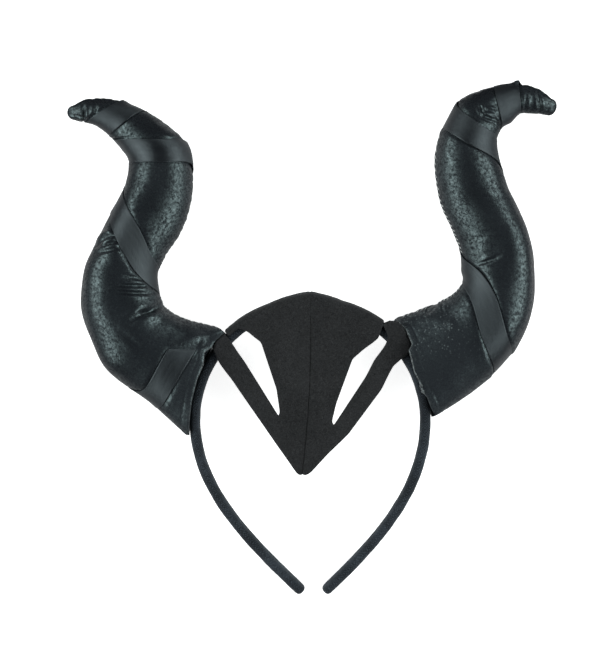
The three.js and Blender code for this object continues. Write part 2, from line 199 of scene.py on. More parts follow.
def make_piece(name, points, faces, values=None):
    """A smooth-shaded mesh from points in millimetres, placed in the row's frame.
    values holds named numbers, one for each point, which the finish reads."""
    mesh = bpy.data.meshes.new(name)
    mesh.from_pydata(((np.asarray(points) + ROW_SHIFT) * MM).tolist(), [], faces)
    mesh.validate()
    mesh.shade_smooth()
    for value_name, numbers in (values or {}).items():
        layer = mesh.attributes.new(value_name, "FLOAT", "POINT")
        layer.data.foreach_set("value", np.asarray(numbers, np.float32).ravel())
    piece = bpy.data.objects.new(name, mesh)
    bpy.context.scene.collection.objects.link(piece)
    return piece


def lay_cloth(piece, places):
    """Gives each point of a piece its place on the flat cloth, in millimetres."""
    corner_point = np.zeros(len(piece.data.loops), np.int32)
    piece.data.loops.foreach_get("vertex_index", corner_point)
    layer = piece.data.uv_layers.new(name="cloth_place")
    layer.data.foreach_set("uv", (places[corner_point] * MM).ravel())


def hoop_rings(stations, sides, margin=0.0, cloth=True):
    """Rings of points round the hoop: the cloth sleeve, or with a margin the plain room that it takes up."""
    fine, fine_walked = evenly(hoop_path(), FINE_POINTS)
    length = fine_walked[-1]
    end = END_ROUND * np.linspace(0, 1, END_RINGS, endpoint=False) ** 2
    body = np.linspace(END_ROUND, length - END_ROUND, stations)
    walked = np.concatenate([end, body, (length - end)[::-1]])
    path = rows_at(walked, fine_walked, fine)
    forward = rows_at(walked, fine_walked, np.gradient(fine, axis=0))
    forward /= np.linalg.norm(forward, axis=1)[:, None]
    from_end = np.minimum(walked, length - walked)
    rounded = np.clip(from_end / END_ROUND, 0, 1)
    size = END_FLAT + (1 - END_FLAT) * np.sqrt(1 - (1 - rounded) ** 2)
    turn = (np.arange(sides) + 0.5) / sides
    angle = turn * 2 * math.pi
    power = 2 / HOOP_SQUARENESS
    round_x = np.sign(np.cos(angle)) * np.abs(np.cos(angle)) ** power
    round_z = np.sign(np.sin(angle)) * np.abs(np.sin(angle)) ** power
    swell = np.zeros((len(walked), sides))
    if cloth:
        where = np.broadcast_arrays(walked[:, None] / LUMP_LENGTH, turn[None, :] * LUMPS_ROUND)
        swell += layered_lumps(np.stack(where, axis=-1), SLEEVE_LUMPS, SLEEVE_SEED)
        near_end = np.clip(1 - from_end / END_PLEAT_REACH, 0, 1) ** 2
        swell -= END_PLEAT_DEPTH * near_end[:, None] * (1 + np.cos(END_PLEATS * angle))[None, :]
        swell += LAP_HEIGHT * ((turn > LAP_TURNS[0]) & (turn < LAP_TURNS[1]))[None, :]
    across = ((HOOP_THICK / 2 + swell) * size[:, None] + margin) * round_x
    up = ((HOOP_DEPTH / 2 + swell) * size[:, None] + margin) * round_z
    x = path[:, :1] - forward[:, 1:] * across
    y = path[:, 1:] + forward[:, :1] * across
    return leaned(np.stack([x, y, up], axis=-1)), walked


class Finish:
    """A procedural material: one shader, and the nodes that vary it over the surface."""

    def __init__(self, name):
        self.material = bpy.data.materials.new(name)
        self.material.use_nodes = True
        self.shader = self.material.node_tree.nodes["Principled BSDF"]

    def join(self, node, inputs):
        """Sets a node's inputs to values, or links them to other nodes' outputs."""
        for name, value in inputs.items():
            if isinstance(value, bpy.types.NodeSocket):
                self.material.node_tree.links.new(value, node.inputs[name])
            else:
                node.inputs[name].default_value = value
        return node

    def node(self, kind, output, inputs=None, **settings):
        """One output of a new node."""
        made = self.material.node_tree.nodes.new("ShaderNode" + kind)
        for name, value in settings.items():
            setattr(made, name, value)
        return self.join(made, inputs or {}).outputs[output]

    def solid(self):
        """The place inside the piece."""
        return self.node("TexCoord", "Object")

    def cloth_place(self):
        """The place on the flat cloth."""
        return self.node("UVMap", "UV", uv_map="cloth_place")

    def value(self, name):
        """A number that the mesh holds for each of its points."""
        return self.node("Attribute", "Fac", attribute_name=name)

    def noise(self, place, scale, detail, **more):
        return self.node("TexNoise", "Fac", {"Vector": place, "Scale": scale, "Detail": detail, **more})

    def maths(self, operation, *numbers):
        return self.node("Math", "Value", dict(enumerate(numbers)), operation=operation)

    def number(self, share, low, high, start=0.0, end=1.0):
        """A number that goes from low to high as share goes from start to end."""
        spread = {"Value": share, "From Min": start, "From Max": end, "To Min": low, "To Max": high}
        return self.node("MapRange", "Result", spread)

    def colour(self, share, low, high, start=0.0, end=1.0):
        """A colour that goes from low to high as share goes from start to end."""
        ramp = self.node("ValToRGB", "Color", {"Fac": share})
        for stop, position, tint in zip(ramp.node.color_ramp.elements, (start, end), (low, high)):
            stop.position = position
            stop.color = (*tint, 1)
        return ramp

    def bump(self, height, strength, distance):
        return self.node("Bump", "Normal", {"Strength": strength, "Distance": distance, "Height": height})

    def shade(self, inputs):
        """The finished material, with the shader's own inputs set."""
        self.join(self.shader, inputs)
        return self.material


def sleeve_cloth():
    """Matt bluish-black cloth: a fine diagonal weave with a short nap."""
    finish = Finish("sleeve_cloth")
    place, solid = finish.cloth_place(), finish.solid()
    threads = []
    for slant, scale in ((0.6, 300.0), (-0.9, 260.0)):
        turned = finish.node("Mapping", "Vector", {"Vector": place, "Rotation": (0, 0, slant)})
        wave = {"Vector": turned, "Scale": scale, "Distortion": 1.6, "Detail": 2.0, "Detail Scale": 1.5}
        threads.append(finish.node("TexWave", "Fac", wave))
    weave = finish.maths("MULTIPLY", *threads)
    nap = finish.noise(solid, 900.0, 5.0)
    broad = finish.noise(solid, 70.0, 3.0)
    tone = finish.maths("MULTIPLY_ADD", weave, 0.35, finish.maths("MULTIPLY", broad, nap))
    return finish.shade({
        "Base Color": finish.colour(tone, SLEEVE_DARK, SLEEVE_PALE, 0.2, 0.56),
        "Roughness": finish.number(nap, 0.8, 1.0),
        "Specular IOR Level": 0.25,
        "Sheen Weight": 0.06,
        "Sheen Roughness": 0.5,
        "Sheen Tint": (0.6, 0.68, 0.75, 1),
        "Normal": finish.bump(finish.maths("ADD", weave, nap), 0.55, 0.0003),
    })


plain_rings, _ = hoop_rings(SLEEVE_STATIONS, SLEEVE_SIDES, cloth=False)
hoop_low, hoop_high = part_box("headband")
middle_x = (hoop_low.x + hoop_high.x) / 2 / MM
ROW_SHIFT = np.array([middle_x - CROWN_X, hoop_low.y / MM - plain_rings[..., 1].min(), 0.0])
sleeve_rings, sleeve_walked = hoop_rings(SLEEVE_STATIONS, SLEEVE_SIDES)
points, faces = closed_tube(sleeve_rings)
headband = make_piece("headband_sleeve", points, faces)
ring_of, side_of = np.divmod(np.arange(len(points)), SLEEVE_SIDES)
ring_of = np.minimum(ring_of, len(sleeve_walked) - 1)
from_fold = np.abs((side_of + SLEEVE_SIDES // 4) % SLEEVE_SIDES - SLEEVE_SIDES / 2) / SLEEVE_SIDES
sleeve_girth = 2 * (HOOP_THICK + HOOP_DEPTH) * GIRTH_SHARE
lay_cloth(headband, np.stack([sleeve_walked[ring_of], from_fold * sleeve_girth], axis=-1))
headband.data.materials.append(sleeve_cloth())
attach(headband, "root")
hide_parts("headband")

# Horns
# Each horn is a leatherette tube, sewn along one side, turned, stuffed and pulled over the hoop at its base.
# Its skin puckers along the seam, swells beside the ribbon and creases on the inside of each bend.
HORN_STATIONS = 430
HORN_SIDES = 196
FINE_SECTIONS = 4001
FAR = 1e3
TIP_CAP = 4.0
TIP_RINGS = 14
# Rings of the base's backing: the share of the base's size, and how far up the horn they lie.
BACKING_RINGS = [[0.08, 1.2], [0.35, 1.2], [0.62, 1.2], [0.85, 1.1], [0.90, 0.8], [0.93, 0.3]]
HEM_RINGS = 6
HEM_WIDTH = 3.6
HEM_RISE = 0.10
HEM_ROUND = 1.6
HEM_SIZE = 0.95
# The hem rises over its front and falls over its back, and a groove lies behind it.
HEM_FRONT = 0.8
HEM_BACK = 0.7
HEM_GROOVE = 0.9
EDGE_FADE = 12.0  # how far up the horn the base's uneven edge is felt
BACK_EDGE = -3.8  # the base's edge behind the hoop, less than 0 under it
LAP_RISE = 0.9
LAP_CLEAR = 0.5
LAP_FADE = 9.0
SADDLE_GAP = 0.35
SADDLE_STATIONS = 300
SADDLE_SIDES = 28
TABLE_SOFTNESS = 0.9
LEAST_STRETCH = 0.25
# The cosines of a place's angle between which it goes from behind to in front.
CREASE_FRONT = (-0.25, 0.1)
EDGE_FRONT = (-0.35, 0.05)
LAP_FRONT = (0.0, 0.16)
RIBBON_WIDTH = 13.2
RIBBON_THICK = 0.34
RIBBON_GAP = 0.12
RIBBON_PRESS = 0.34  # how far the ribbon pulls into the stuffing
RIBBON_HOLD = 0.35  # the share of the stuffing's unevenness that shows under it
PASS_POINTS = 900
NEAR_RIBBON = 30.0
TUCK_SLANT = 0.85
START_SPAN = 0.2  # turns from the ribbon's tucked start over which its edge is cut on a slant
SKIN_SWELL = 0.18  # how far the skin swells beside the ribbon
# Distances past the ribbon's edge over which the skin comes up, swells and settles again.
PRESS_END = (-0.4, 1.6)
SWELL_RISE = (0.0, 2.6)
SWELL_FALL = (3.0, 11.0)
SEAM_PUCKER = 0.28
SEAM_PITCH = 4.6
PUCKER_WIDTH = 3.2
VALLEY_DEPTH = 0.75
VALLEY_WIDTH = 0.75
CREASE_POINTS = 29
CREASE_ENDS = (0.04, 0.96)
CREASE_TAPER = 0.7
LIP_PLACE = 2.1
LIP_WIDTH = 1.2
# Heights and sizes of each layer of lumps in the stuffing, and of the skin's fine crumples.
STUFFING_LUMPS = [[0.5, 1.9], [0.24, 0.8], [0.035, 0.37]]
STUFFING_LENGTH = 9.0
STUFFING_ROUND = 2.0
CRUMPLES = [[0.035, 2.6], [0.012, 1.2]]
CRUMPLE_SEED = 5
# One row for each section from the base on the hoop to the tip. heading is the way the horn grows there,
# in degrees from +X, height is the section's middle above the table, and crest is how far the top leans
# to the left-hand side, as a share of half the width.
SECTION_COLUMNS = ("x", "y", "heading", "width", "depth", "height", "crest")
LEFT_SECTIONS = [
    [-59.6, -41.3, 166, 59, 26, 18, 0], [-76, -31, 156, 48.2, 34, 17, -0.1],
    [-89, -22.3, 143, 45.4, 37, 17.5, -0.12], [-97.8, -11.1, 120, 42.3, 38, 18, -0.02],
    [-101.5, 1.3, 105, 42.4, 38, 18, 0.12], [-101.2, 17, 87, 38.7, 37, 17.5, 0.22],
    [-95.4, 29.8, 72, 35.6, 35, 16.5, 0.2], [-87.7, 42.9, 70, 37.8, 35, 16.5, 0.2],
    [-81.6, 57.8, 77, 36.6, 34, 16, 0.12], [-80.2, 70, 90, 33.8, 32, 15, 0.05],
    [-82.2, 80.8, 105, 31.7, 30, 14, 0], [-90.4, 89.4, 121, 26.5, 26, 12.5, 0],
    [-99.9, 96.5, 134, 21.4, 21, 11, 0], [-110, 100.8, 150, 16.2, 16, 10, 0],
    [-118.7, 102, 165, 12.6, 12, 9, 0], [-122.6, 102.1, 172, 11, 10.5, 8.8, 0],
    [-126.2, 101.4, 178, 7.6, 7.5, 8.5, 0],
]
RIGHT_SECTIONS = [
    [55.2, -33.7, 20, 56, 26, 18, 0], [70.8, -26, 25, 51.4, 34, 17, 0],
    [84.5, -16.7, 36, 46.3, 37, 17.5, -0.08], [93.8, -6.4, 48, 42.8, 38, 18, -0.14],
    [98.1, 4, 64, 40.1, 38, 18, -0.2], [98.4, 17.5, 87, 38.5, 37, 17.5, -0.28],
    [97.2, 29.6, 97, 37.8, 37, 17.5, -0.32], [92.2, 44.1, 105, 37.6, 36, 17, -0.22],
    [86.2, 57.2, 105, 36.5, 34, 16, -0.1], [82.7, 72.1, 99, 34.3, 32, 15, 0.0],
    [82.4, 84.3, 91, 31.4, 30, 14, 0.05], [85.1, 93.5, 76, 27.9, 27, 13, 0],
    [90.6, 101, 57, 26.4, 24, 11.5, 0], [99.4, 105.2, 36, 22.4, 20, 10.5, 0],
    [108.7, 108.8, 19, 16.4, 15.5, 9.5, 0], [120, 107.1, -8, 12.8, 12, 9, 0],
    [126.2, 104.5, -15, 8.8, 8.2, 8.5, 0],
]
# Columns turn and along: how far along the horn the ribbon's middle lies at each turn. A whole turn faces up,
# a quarter more is the left-hand side as the horn grows, and a half is underneath.
LEFT_WINDING = [
    [-0.25, 10], [0, 16], [0.25, 23], [0.75, 69], [1, 97], [1.25, 114], [1.75, 142],
    [2, 147], [2.25, 158], [2.75, 172.5], [3, 177], [3.25, 182.5], [3.5, 187],
]
RIGHT_WINDING = [
    [-0.75, 18], [-0.5, 27], [-0.25, 36.5], [0, 45], [0.25, 74], [0.75, 134], [1, 149],
    [1.25, 155], [1.75, 170], [2, 177], [2.25, 180], [2.4, 182],
]
# Columns share and along: the base's cut edge in front. share is the place across the base, from -1 at the
# right-hand side as the horn grows to 1 at the left-hand side, and along is how far up the horn the edge lies
# there, less than 0 over the hoop.
LEFT_BASE_EDGE = [
    [-1.0, -3.1], [-0.95, -7.4], [-0.85, -5.6], [-0.71, -3.1], [-0.62, -2.6], [-0.5, 0.5], [-0.3, -0.6],
    [0, 0.8], [0.36, 0.8], [0.7, -0.3], [0.9, -1.4], [0.97, -1.8], [1.0, -1.6],
]
RIGHT_BASE_EDGE = [
    [-1.0, 1.2], [-0.97, 0.2], [-0.88, -0.6], [-0.62, -0.7], [-0.49, -2.2], [-0.3, -1.9], [-0.07, -2.7],
    [0.20, -1.8], [0.34, -1.5], [0.42, 1.4], [0.7, 1.1], [0.95, -1.7], [1.0, -1.5],
]
# Columns x0, y0, x1, y1, bow, depth, width and lip: creases of the skin as seen from above, where each
# starts and ends, how far it bows to its left, its depth and width, and how high the skin lips up beside it.
LEFT_CREASES = [
    [-79.0, -2.1, -96.5, -10.4, -1.0, 1.7, 1.8, 0.4], [-82.0, -3.2, -91.5, -5.0, 0.8, 1.2, 1.1, 0.2],
    [-98.6, 13.8, -86.4, 10.6, 0.8, 0.8, 0.9, 0.5], [-103.4, 9.3, -85.9, 9.0, -0.3, 0.9, 0.8, 0.5],
    [-104.8, 6.2, -84.3, 5.0, -0.6, 1.0, 0.9, 0.6], [-112.9, 29.7, -102.0, 35.3, 2.1, 1.0, 1.0, 1.0],
    [-110.8, 29.2, -99.0, 32.6, 0.4, 0.8, 0.8, 0.5], [-113.6, 26.3, -99.5, 29.4, -0.3, 0.9, 1.0, 0.5],
    [-121.4, 105.0, -121.2, 96.5, 0.2, 0.9, 0.7, 0.5], [-114.6, 106.0, -114.2, 96.0, -0.4, 0.6, 0.8, 0.3],
    [-124.6, 99.8, -119.5, 97.6, 0.2, 0.6, 0.6, 0.3], [-70.0, -25.5, -52.0, -21.6, 0.8, 0.6, 1.6, 0.5],
    [-80.6, -29.2, -62.0, -24.9, 0.5, 0.2, 1.2, 0.15], [-88.0, 18.0, -84.0, 9.0, 0.5, 0.5, 0.9, 0.2],
    [-100.0, -17.0, -90.0, -24.0, 0.5, 0.45, 1.6, 0.2],
]
RIGHT_CREASES = [
    [86.0, 20.0, 98.6, 24.6, -0.5, 0.7, 0.9, 0.4], [83.0, 31.0, 92.0, 34.6, 0.4, 0.22, 1.7, 0.2],
    [85.5, 26.8, 95.0, 29.4, 0.7, 0.2, 1.6, 0.2], [88.4, 104.5, 90.4, 99.2, 0.2, 0.9, 0.7, 0.8],
    [90.4, 99.2, 97.0, 97.0, -0.4, 1.0, 0.7, 0.9], [97.0, 97.0, 100.6, 92.4, 0.3, 0.9, 0.7, 0.7],
    [91.5, 102.0, 98.0, 100.6, 0.4, 0.5, 0.7, 0.5], [119.6, 111.0, 121.0, 101.0, 0.5, 0.7, 0.8, 0.4],
    [113.5, 109.5, 112.6, 101.0, 0.2, 0.5, 0.8, 0.3], [68.4, 0.4, 69.0, -5.2, 0.2, 0.45, 0.6, 0.3],
]
# Columns x, y, radius and height: soft swellings of the stuffing as seen from above.
LEFT_PUFFS = [
    [-91.5, -2.0, 6.5, 1.5], [-125.0, 101.4, 2.6, 0.9], [-118.0, 100.6, 2.6, 0.7], [-104.5, 25.0, 6.5, 0.9],
    [-106.0, 38.0, 5.0, 0.6], [-63.0, -19.4, 7.0, 0.9], [-96.0, 18.5, 5.0, 0.6], [-112.0, -3.0, 9.0, 0.5],
    [-107.5, -31.0, 10.0, 1.9],
]
RIGHT_PUFFS = [
    [91.0, 28.0, 4.2, 0.9], [95.0, 17.5, 6.0, 0.6], [124.0, 106.2, 2.6, 0.7], [94.0, 101.6, 3.4, 0.6],
    [73.2, -11.6, 2.2, 0.6], [112.0, 106.0, 4.0, 0.5], [76.0, 60.0, 8.0, 0.4], [106.0, 30.0, 9.0, 0.5],
    [101.0, -32.0, 10.0, 1.0],
]
# How far from the edge dust greys the skin, from full to none, and how much lint has gathered there.
DUST = {"left": (6.0, 22.0, 0.3), "right": (24.0, 48.0, 1.0)}
LINT_LEAST = 0.12
LINT_UPPER = (-34.0, -22.0)  # the y over which lint begins to gather
# A pale line along the hem's fold, partly rubbed wear and partly a painted highlight: its most, its place and
# width past the edge, its patch size and seed.
WEAR_AND_HIGHLIGHT_MOST = 0.22
WEAR_AND_HIGHLIGHT_PLACE = 0.6
WEAR_AND_HIGHLIGHT_WIDTH = 0.9
WEAR_AND_HIGHLIGHT_LUMP = 2.2
WEAR_AND_HIGHLIGHT_SEED = 71
LEATHER_DARK = (0.0078, 0.0088, 0.0112)
LEATHER_PALE = (0.0120, 0.0138, 0.0168)
LEATHER_DUSTY = (0.0155, 0.0177, 0.0212, 1)
# The pale grey of lint specks, also used for the hem line's rubbed wear and painted highlight.
LEATHER_LINT_AND_HIGHLIGHT = (0.13, 0.15, 0.155, 1)


def smooth_step(value, start, end):
    share = np.clip((value - start) / (end - start), 0, 1)
    return share * share * (3 - 2 * share)


def soft_bump(away, width):
    """A bump of height 1, with soft sides."""
    return np.exp(-((away / width) ** 2))


def smooth_through(rows, count):
    """Count places on a smooth curve through the rows."""
    rows = np.asarray(rows, float)
    padded = np.vstack([2 * rows[0] - rows[1], rows, 2 * rows[-1] - rows[-2]])
    place = np.linspace(0, len(rows) - 1, count)
    first = np.minimum(place.astype(int), len(rows) - 2)
    t = (place - first)[:, None]
    before, start, end, after = (padded[first + i] for i in range(4))
    pull_in, pull_out = (end - before) / 2, (after - start) / 2
    bend = (2 * start - 2 * end + pull_in + pull_out) * t**3
    return bend + (3 * end - 3 * start - 2 * pull_in - pull_out) * t**2 + pull_in * t + start


def winding_place(rows, turn):
    """How far along the horn the ribbon's middle lies at each turn."""
    turns, alongs = np.asarray(rows, float).T
    steep = np.empty_like(turns)
    steep[1:-1] = (alongs[2:] - alongs[:-2]) / (turns[2:] - turns[:-2])
    steep[0] = (alongs[1] - alongs[0]) / (turns[1] - turns[0])
    steep[-1] = (alongs[-1] - alongs[-2]) / (turns[-1] - turns[-2])
    first = np.clip(np.searchsorted(turns, turn, side="right") - 1, 0, len(turns) - 2)
    span = turns[first + 1] - turns[first]
    t = (turn - turns[first]) / span
    start = alongs[first] * (1 + 2 * t) * (1 - t) ** 2 + steep[first] * span * t * (1 - t) ** 2
    end = alongs[first + 1] * t**2 * (3 - 2 * t) + steep[first + 1] * span * t**2 * (t - 1)
    return start + end


def angle_of(turn):
    return turn * 2 * math.pi


def in_front(turn, cosines):
    """From 0 behind to 1 in front."""
    return smooth_step(np.cos(angle_of(turn)), *cosines)


class Horn:
    """One stuffed horn: where its skin and its ribbon lie."""

    def __init__(self, sections, winding, base_edge, creases, puffs, ribbon_start, seam_turn, seed):
        table = dict(zip(SECTION_COLUMNS, smooth_through(sections, FINE_SECTIONS).T))
        self.place = np.stack([table["x"], table["y"], table["height"]], axis=-1)
        self.heading, self.crest = table["heading"], table["crest"]
        self.half_width, self.half_depth = table["width"] / 2, table["depth"] / 2
        self.walked = walk(self.place)
        self.length = self.walked[-1]
        self.winding, self.creases, self.puffs = winding, creases, puffs
        self.ribbon_start, self.base_edge = ribbon_start, np.asarray(base_edge, float)
        self.seam_turn, self.seed = seam_turn, seed

    def at(self, along, column):
        return np.interp(along, self.walked, column)

    def plan(self, along, turn, offset=0.0, size=1.0):
        """Points of the skin, before the table flattens it."""
        heading = np.radians(self.at(along, self.heading))
        past = along - np.clip(along, 0, self.length)
        angle = angle_of(turn)
        lean = self.at(along, self.crest) * np.maximum(0, np.cos(angle)) ** 2
        across = size * (self.at(along, self.half_width) + offset) * (np.sin(angle) + lean)
        up = size * (self.at(along, self.half_depth) + offset) * np.cos(angle)
        x = self.at(along, self.place[:, 0]) + past * np.cos(heading) - np.sin(heading) * across
        y = self.at(along, self.place[:, 1]) + past * np.sin(heading) + np.cos(heading) * across
        return np.stack([x, y, self.at(along, self.place[:, 2]) + up], axis=-1)

    def points(self, along, turn, offset=0.0, floor=0.0, size=1.0):
        """Points of the skin as it lies on the table, or on a floor above it."""
        found = self.plan(along, turn, offset, size)
        over = found[..., 2] - floor
        found[..., 2] = floor + (over + np.sqrt(over**2 + TABLE_SOFTNESS**2)) / 2
        return found

    def stretch(self, along, turn):
        """Length of skin in one whole turn here, and in one millimetre of the middle line."""
        angle = angle_of(turn)
        half_width, half_depth = self.at(along, self.half_width), self.at(along, self.half_depth)
        bend = np.radians(self.at(along + 1, self.heading) - self.at(along - 1, self.heading)) / 2
        girth = 2 * math.pi * np.hypot(half_width * np.cos(angle), half_depth * np.sin(angle))
        return girth, np.maximum(LEAST_STRETCH, 1 - bend * half_width * np.sin(angle))

    def ribbon_lean(self, turn, step=0.01):
        """How far along the horn the ribbon climbs in one turn."""
        ahead, behind = winding_place(self.winding, turn + step), winding_place(self.winding, turn - step)
        return (ahead - behind) / (2 * step)

    def from_ribbon(self, along, turn, overrun=0.02):
        """Distance of a place on the skin from the nearest pass of the ribbon's middle line."""
        first, last = self.ribbon_start - overrun, self.winding[-1][0] + overrun
        girth, per_along = self.stretch(along, turn)
        nearest = np.full(np.broadcast(along, turn).shape, FAR)
        from_start = np.zeros_like(nearest)
        for lap in range(math.floor(first) - 1, math.ceil(last) + 1):
            here = turn + lap
            lean = self.ribbon_lean(here) * per_along / girth
            across = (along - winding_place(self.winding, here)) * per_along / np.hypot(1, lean)
            covered = (here - first) * girth < TUCK_SLANT * (across + RIBBON_WIDTH / 2)
            away = np.where(covered | (here > last), FAR, np.abs(across))
            from_start = np.where(away < nearest, here - first, from_start)
            nearest = np.minimum(nearest, away)
        passes = np.linspace(first, last, PASS_POINTS)
        spots = self.plan(along, turn)
        in_space = np.full(nearest.shape, FAR)
        for spot in self.plan(winding_place(self.winding, passes), passes):
            in_space = np.minimum(in_space, ((spots - spot) ** 2).sum(axis=-1))
        past_start = smooth_step(from_start, START_SPAN / 2, START_SPAN)
        return nearest + past_start * np.where(nearest < NEAR_RIBBON, np.sqrt(in_space) - nearest, 0)

    def pressed(self, along, turn):
        """How much of a place is under the ribbon, and how far the ribbon moves the skin there."""
        past_edge = self.from_ribbon(along, turn) - RIBBON_WIDTH / 2
        under = 1 - smooth_step(past_edge, *PRESS_END)
        beside = smooth_step(past_edge, *SWELL_RISE) * (1 - smooth_step(past_edge, *SWELL_FALL))
        return under, -RIBBON_PRESS * under + SKIN_SWELL * beside

    def stuffing(self, along, turn):
        """Broad unevenness of the stuffing."""
        angle = angle_of(turn)
        lengthways = np.broadcast_to(along, angle.shape) / STUFFING_LENGTH
        rounded = [lengthways, STUFFING_ROUND * np.cos(angle), STUFFING_ROUND * np.sin(angle)]
        return layered_lumps(np.stack(rounded, axis=-1), STUFFING_LUMPS, self.seed)

    def sculpted(self, along, turn):
        """Creases and puffs that show from above."""
        seen = self.plan(along, turn)[..., :2]
        total = np.zeros(seen.shape[:-1])
        shares = np.linspace(0, 1, CREASE_POINTS)
        for x0, y0, x1, y1, bow, depth, width, lip in self.creases:
            start, run = np.array([x0, y0]), np.array([x1 - x0, y1 - y0])
            left = np.array([-run[1], run[0]]) / np.linalg.norm(run)
            line = start + shares[:, None] * run + (4 * bow * shares * (1 - shares))[:, None] * left
            nearest = np.full(total.shape, FAR)
            place = np.zeros(total.shape)
            for share, spot in zip(shares, line):
                away = np.hypot(seen[..., 0] - spot[0], seen[..., 1] - spot[1])
                place = np.where(away < nearest, share, place)
                nearest = np.minimum(nearest, away)
            taper = np.sin(math.pi * np.clip(place, *CREASE_ENDS)) ** CREASE_TAPER
            raised = lip * soft_bump(nearest - LIP_PLACE * width, LIP_WIDTH * width)
            total += taper * (raised - depth * soft_bump(nearest, width))
        for x, y, radius, height in self.puffs:
            total += height * soft_bump(np.hypot(seen[..., 0] - x, seen[..., 1] - y), radius)
        return in_front(turn, CREASE_FRONT) * total

    def seam(self, along, turn):
        """The sewn side seam: a fine valley with puckers across it."""
        off = (turn - self.seam_turn + 0.5) % 1.0 - 0.5
        girth, _ = self.stretch(along, turn)
        away = np.abs(off) * girth
        wave = 0.5 + 0.5 * np.cos(2 * math.pi * along / SEAM_PITCH)
        puckers = SEAM_PUCKER * wave * soft_bump(away, PUCKER_WIDTH)
        return puckers - VALLEY_DEPTH * soft_bump(away, VALLEY_WIDTH)

    def offset(self, along, turn):
        """How far the skin stands out from the plain horn, and how much of it is under the ribbon."""
        under, press = self.pressed(along, turn)
        free = 1 - under
        crumple = layered_lumps(self.plan(along, turn), CRUMPLES, self.seed + CRUMPLE_SEED)
        detail = self.sculpted(along, turn) + self.seam(along, turn) + crumple
        stuffed = self.stuffing(along, turn) * (RIBBON_HOLD + (1 - RIBBON_HOLD) * free)
        return press + stuffed + free * detail, under

    def edge_shift(self, along, turn, size=1.0):
        """How far the base's cut edge lies from the plain end, less and less up the horn."""
        front = in_front(turn, EDGE_FRONT)
        shift = np.interp(size * np.sin(angle_of(turn)), self.base_edge[:, 0], self.base_edge[:, 1])
        return (front * shift + (1 - front) * BACK_EDGE) * (1 - smooth_step(along, 0.0, EDGE_FADE))

    def lapped(self, points, turn):
        """The points, with the front of the base raised where it laps over the hoop."""
        x, y, z = np.moveaxis(points, -1, 0)
        away = np.abs(np.hypot(x - CROWN_X, y - CROWN_Y) - HOOP_RADIUS) - HOOP_THICK / 2
        near = 1 - smooth_step(away, LAP_CLEAR, LAP_FADE)
        hoop_top = PIVOT_HEIGHT + (y - PIVOT_Y) * math.tan(HOOP_LEAN) + HOOP_DEPTH / 2 / math.cos(HOOP_LEAN)
        lift = in_front(turn, LAP_FRONT) * near * np.maximum(0, hoop_top + LAP_RISE - z)
        return np.stack([x, y, z + lift], axis=-1)

    def skin(self):
        """Rings of the skin from its backing to the tip, and each point's distance from the base's edge."""
        rows = [(deep, inside) for inside, deep in BACKING_RINGS]
        for share in np.sin(np.linspace(0, math.pi / 2, HEM_RINGS))[:-1]:
            rise = HEM_ROUND / 2 * (1 - math.sqrt(1 - (1 - share) ** 2) + share)
            rows.append((rise, HEM_SIZE + (1 - HEM_SIZE) * share))
        rows += [(along, 1.0) for along in np.linspace(HEM_ROUND, self.length, HORN_STATIONS)]
        for share in np.sin(np.linspace(0, math.pi / 2, TIP_RINGS))[1:-1]:
            rows.append((self.length + share * TIP_CAP, math.sqrt(1 - share**2)))
        along, size = (column[:, None] for column in np.array(rows).T)
        turn, along = np.meshgrid(np.arange(HORN_SIDES) / HORN_SIDES, along)
        along = along + self.edge_shift(along, turn, size)
        offset, under = self.offset(along, turn)
        from_edge = along - self.edge_shift(np.zeros_like(along), turn)
        past_hem = from_edge - HEM_WIDTH
        hem = smooth_step(from_edge, 0.0, HEM_FRONT) * (1 - smooth_step(past_hem, 0.0, HEM_BACK))
        offset = offset + HEM_RISE * (hem - soft_bump(past_hem - HEM_GROOVE, HEM_BACK))
        floor = under * (RIBBON_THICK + 2 * RIBBON_GAP)
        return self.lapped(self.points(along, turn, offset, floor, size), turn), from_edge


def leatherette():
    """Black leatherette with a satin shine: worn fine grain, dusty grey bases, lint where it gathers, and a
    pale hem line that is rubbed wear and painted highlight.
    """
    finish = Finish("leatherette")
    solid = finish.solid()
    cells = {"Vector": solid, "Scale": 1150.0, "Randomness": 1.0}
    pebble = finish.node("TexVoronoi", "Distance", cells, feature="DISTANCE_TO_EDGE")
    dots = {"Vector": solid, "Scale": 560.0, "Randomness": 1.0}
    speck = finish.node("TexVoronoi", "Distance", dots, feature="F1")
    fine = finish.noise(solid, 1500.0, 4.0)
    broad = finish.noise(solid, 32.0, 3.0)
    mottle = finish.noise(solid, 640.0, 7.0, Roughness=0.76, Distortion=0.6)
    grain = finish.maths("ADD", finish.number(pebble, 0.0, 1.0, 0.0, 0.35), fine)
    height = finish.maths("MULTIPLY_ADD", mottle, 0.9, grain)
    patchy = finish.number(broad, 0.3, 1.0, 0.40, 0.58)
    held = finish.maths("MULTIPLY", finish.value("lint"), patchy)
    lint = finish.maths("MULTIPLY", finish.number(speck, 0.95, 0.0, 0.08, 0.26), held)
    # Lint specks and the hem's pale line of rubbed wear and painted highlight lighten the base colour.
    pale = finish.maths("MAXIMUM", lint, finish.value("wear"))
    dark = finish.colour(broad, LEATHER_DARK, LEATHER_PALE, 0.35, 0.65)
    dusty = {"Fac": finish.value("dust"), "Color1": dark, "Color2": LEATHER_DUSTY}
    lint_and_highlight = {"Fac": pale, "Color1": finish.node("MixRGB", "Color", dusty), "Color2": LEATHER_LINT_AND_HIGHLIGHT}
    return finish.shade({
        "Base Color": finish.node("MixRGB", "Color", lint_and_highlight),
        "Roughness": finish.number(mottle, 0.48, 0.28, 0.38, 0.63),
        "Specular IOR Level": finish.number(mottle, 0.10, 1.0, 0.415, 0.63),
        "Specular Tint": (0.76, 0.98, 1.0, 1),
        "Normal": finish.bump(height, 0.3, 0.00009),
    })


